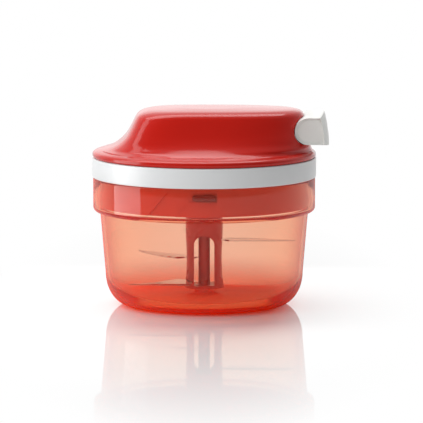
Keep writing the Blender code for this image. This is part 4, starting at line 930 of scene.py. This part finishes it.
stations = []
for i in range(9):
    a = math.radians(90.0 * i / 8.0)
    inward = GRIP_END_ROUND * (1.0 - math.cos(math.radians(90) - a))
    stations.append((GRIP_HALF_WIDTH - inward, GRIP_END_SHARE + (1.0 - GRIP_END_SHARE) * math.sin(a)))
stations += [(GRIP_HALF_WIDTH * t, 1.0) for t in (0.85, 0.7, 0.55, 0.4, 0.25, 0.1)]
stations += [(-y, shrink) for y, shrink in reversed(stations)]
grip = drawn_up("chopper_pull_grip", [grip_ring(y, shrink) for y, shrink in stations])
bored(grip, GRIP_BORE_R, GRIP_BORE_FROM_X, KNOT_POCKET_X + 0.1 * MM)
bored(grip, KNOT_POCKET_R, KNOT_POCKET_X, KNOT_POCKET_OPEN_X)
smooth(grip, 38.0)
warm = Finish("warm white plastic", {"Specular IOR Level": 0.5})
warm.varies({
    "Base Color": warm.blended(warm.noise(30.0, 2.0), (0.90, 0.905, 0.87), (0.86, 0.865, 0.83)),
    "Roughness": 0.36 + 0.08 * warm.noise(150.0, 4.0),
})
warm.bumped(warm.noise(500.0, 2.0), 0.08, 0.00003)
warm.on(grip)
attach(grip, "pull")
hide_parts("pull_handle")
warm.on(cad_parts["handle_plug"])


# The studio: a glossy white table in a white surround that lights more from the left. A small soft key, an
# upper key and a reflector stand at the left, two dim panels stand far behind, and a large soft box hangs
# overhead. None of the lamps is seen by the camera itself, and the reflector isn't mirrored in the table.
bpy.ops.object.select_all(action="DESELECT")
bpy.ops.mesh.primitive_plane_add(size=12.0, location=(0.0, 0.0, -0.0002))
table = bpy.context.object
table.name = "studio_table"
table_top = Finish("glossy white table", {"Roughness": 0.03, "Base Color": (0.93, 0.93, 0.93, 1.0)})
glaze = Socket(table_top, table_top.shader.outputs[0])
spread = table_top.node("ShaderNodeMapping", {}, {"Vector": table_top.place, "Scale": (3.4, 1.0, 1.0)})
away = table_top.node("ShaderNodeVectorMath", {"operation": "LENGTH"}, (spread,), "Value")
away = table_top.node("ShaderNodeMapRange", {}, {"Value": away, "From Min": 0.13, "From Max": 0.42})
in_sight = table_top.node("ShaderNodeLightPath", output="Is Camera Ray")
reflected = table_top.node("ShaderNodeLightPath", output="Is Glossy Ray")
in_sight = in_sight.maths("MAXIMUM", in_sight, reflected)
through = 0.95 * table_top.node("ShaderNodeLightPath", output="Is Transmission Ray")
white_share = away.maths("MAXIMUM", in_sight * away, through)
plain_white = table_top.node("ShaderNodeEmission")
table_top.shows(table_top.node("ShaderNodeMixShader", {}, (white_share, glaze, plain_white)))
table_top.on(table)

world = bpy.data.worlds.new("studio")
bpy.context.scene.world = world
world.use_nodes = True
studio = Nodes(world.node_tree)
seen = studio.node("ShaderNodeLightPath", output="Is Camera Ray")
mirrored = studio.node("ShaderNodeLightPath", output="Is Glossy Ray")
refracted = studio.node("ShaderNodeLightPath", output="Is Transmission Ray")
mirrored = mirrored.maths("MAXIMUM", mirrored, refracted)
way = studio.node("ShaderNodeTexCoord", output="Generated")
across_x = studio.node("ShaderNodeSeparateXYZ", {}, (way,), "X")
along_y = studio.node("ShaderNodeSeparateXYZ", {}, (way,), "Y")
lit = studio.node("ShaderNodeMapRange", {}, {
    "Value": across_x, "From Min": -1.0, "From Max": 1.0, "To Min": 0.78, "To Max": 0.14,
})
shown = studio.node("ShaderNodeMapRange", {}, {
    "Value": along_y, "From Min": -0.4, "From Max": 0.6, "To Min": 0.18, "To Max": 1.0,
})
strength = seen + (1.0 - seen) * (mirrored * shown + (1.0 - mirrored) * lit)
background = world.node_tree.nodes["Background"]
background.inputs["Color"].default_value = (1.0, 1.0, 1.0, 1.0)
world.node_tree.links.new(strength.socket, background.inputs["Strength"])


def soft_box(name, place, towards, width, height, radiance):
    """A rectangular lamp that shines from its place towards a point."""
    lamp = bpy.data.lights.new(name, "AREA")
    lamp.shape = "RECTANGLE"
    lamp.size = width
    lamp.size_y = height
    lamp.energy = radiance * math.pi * width * height
    holder = bpy.data.objects.new(name, lamp)
    holder.visible_camera = False
    holder.location = place
    holder.rotation_euler = (Vector(towards) - Vector(place)).to_track_quat("-Z", "Y").to_euler()
    bpy.context.scene.collection.objects.link(holder)
    return holder


card = soft_box("reflector at the left", (-0.19, -0.053, 0.1125), (0.0, -0.053, 0.1125), 0.115, 0.185, 4.5)
card.visible_diffuse = False
card.visible_transmission = False
kept_off = bpy.data.collections.new("kept off by the reflector")
kept_off.objects.link(table)
kept_off.collection_objects[0].light_linking.link_state = "EXCLUDE"
card.light_linking.receiver_collection = kept_off
near = soft_box("near key at the left", (-0.15, -0.16, 0.21), (-0.02, -0.03, 0.09), 0.09, 0.09, 5.5)
near.visible_glossy = False
near.visible_transmission = False
upper = soft_box("upper key at the left", (-0.290, 0.02, 0.36), (-0.03, -0.03, 0.10), 0.10, 0.16, 2.7)
upper.visible_transmission = False
for name, x, width, radiance in (("backdrop", -0.1, 1.8, 0.3), ("backdrop at the left", -0.55, 0.8, 1.1)):
    backdrop = soft_box(name, (x, 1.2, 0.36), (x, 0.0, 0.16), width, 0.42, radiance)
    backdrop.visible_diffuse = False
    backdrop.visible_transmission = False
soft_box("overhead", (-0.1, 0.30, 0.85), (0.0, 0.0, 0.05), 0.90, 0.42, 3.4)


# The camera: a long lens, far off in front and a little above the object.
aim = Vector((0.0041, 0.0, 0.0518))
elevation = math.radians(7.2)
distance = 2.235
camera = bpy.data.objects.new("camera", bpy.data.cameras.new("camera"))
camera.location = aim + distance * Vector((0.0, -math.cos(elevation), math.sin(elevation)))
camera.rotation_euler = (math.pi / 2.0 - elevation, 0.0, 0.0)
camera.data.lens = 340.0
camera.data.sensor_width = 36.0
camera.data.clip_end = 50.0
bpy.context.scene.collection.objects.link(camera)
bpy.context.scene.camera = camera
bpy.context.scene.view_settings.view_transform = "Standard"
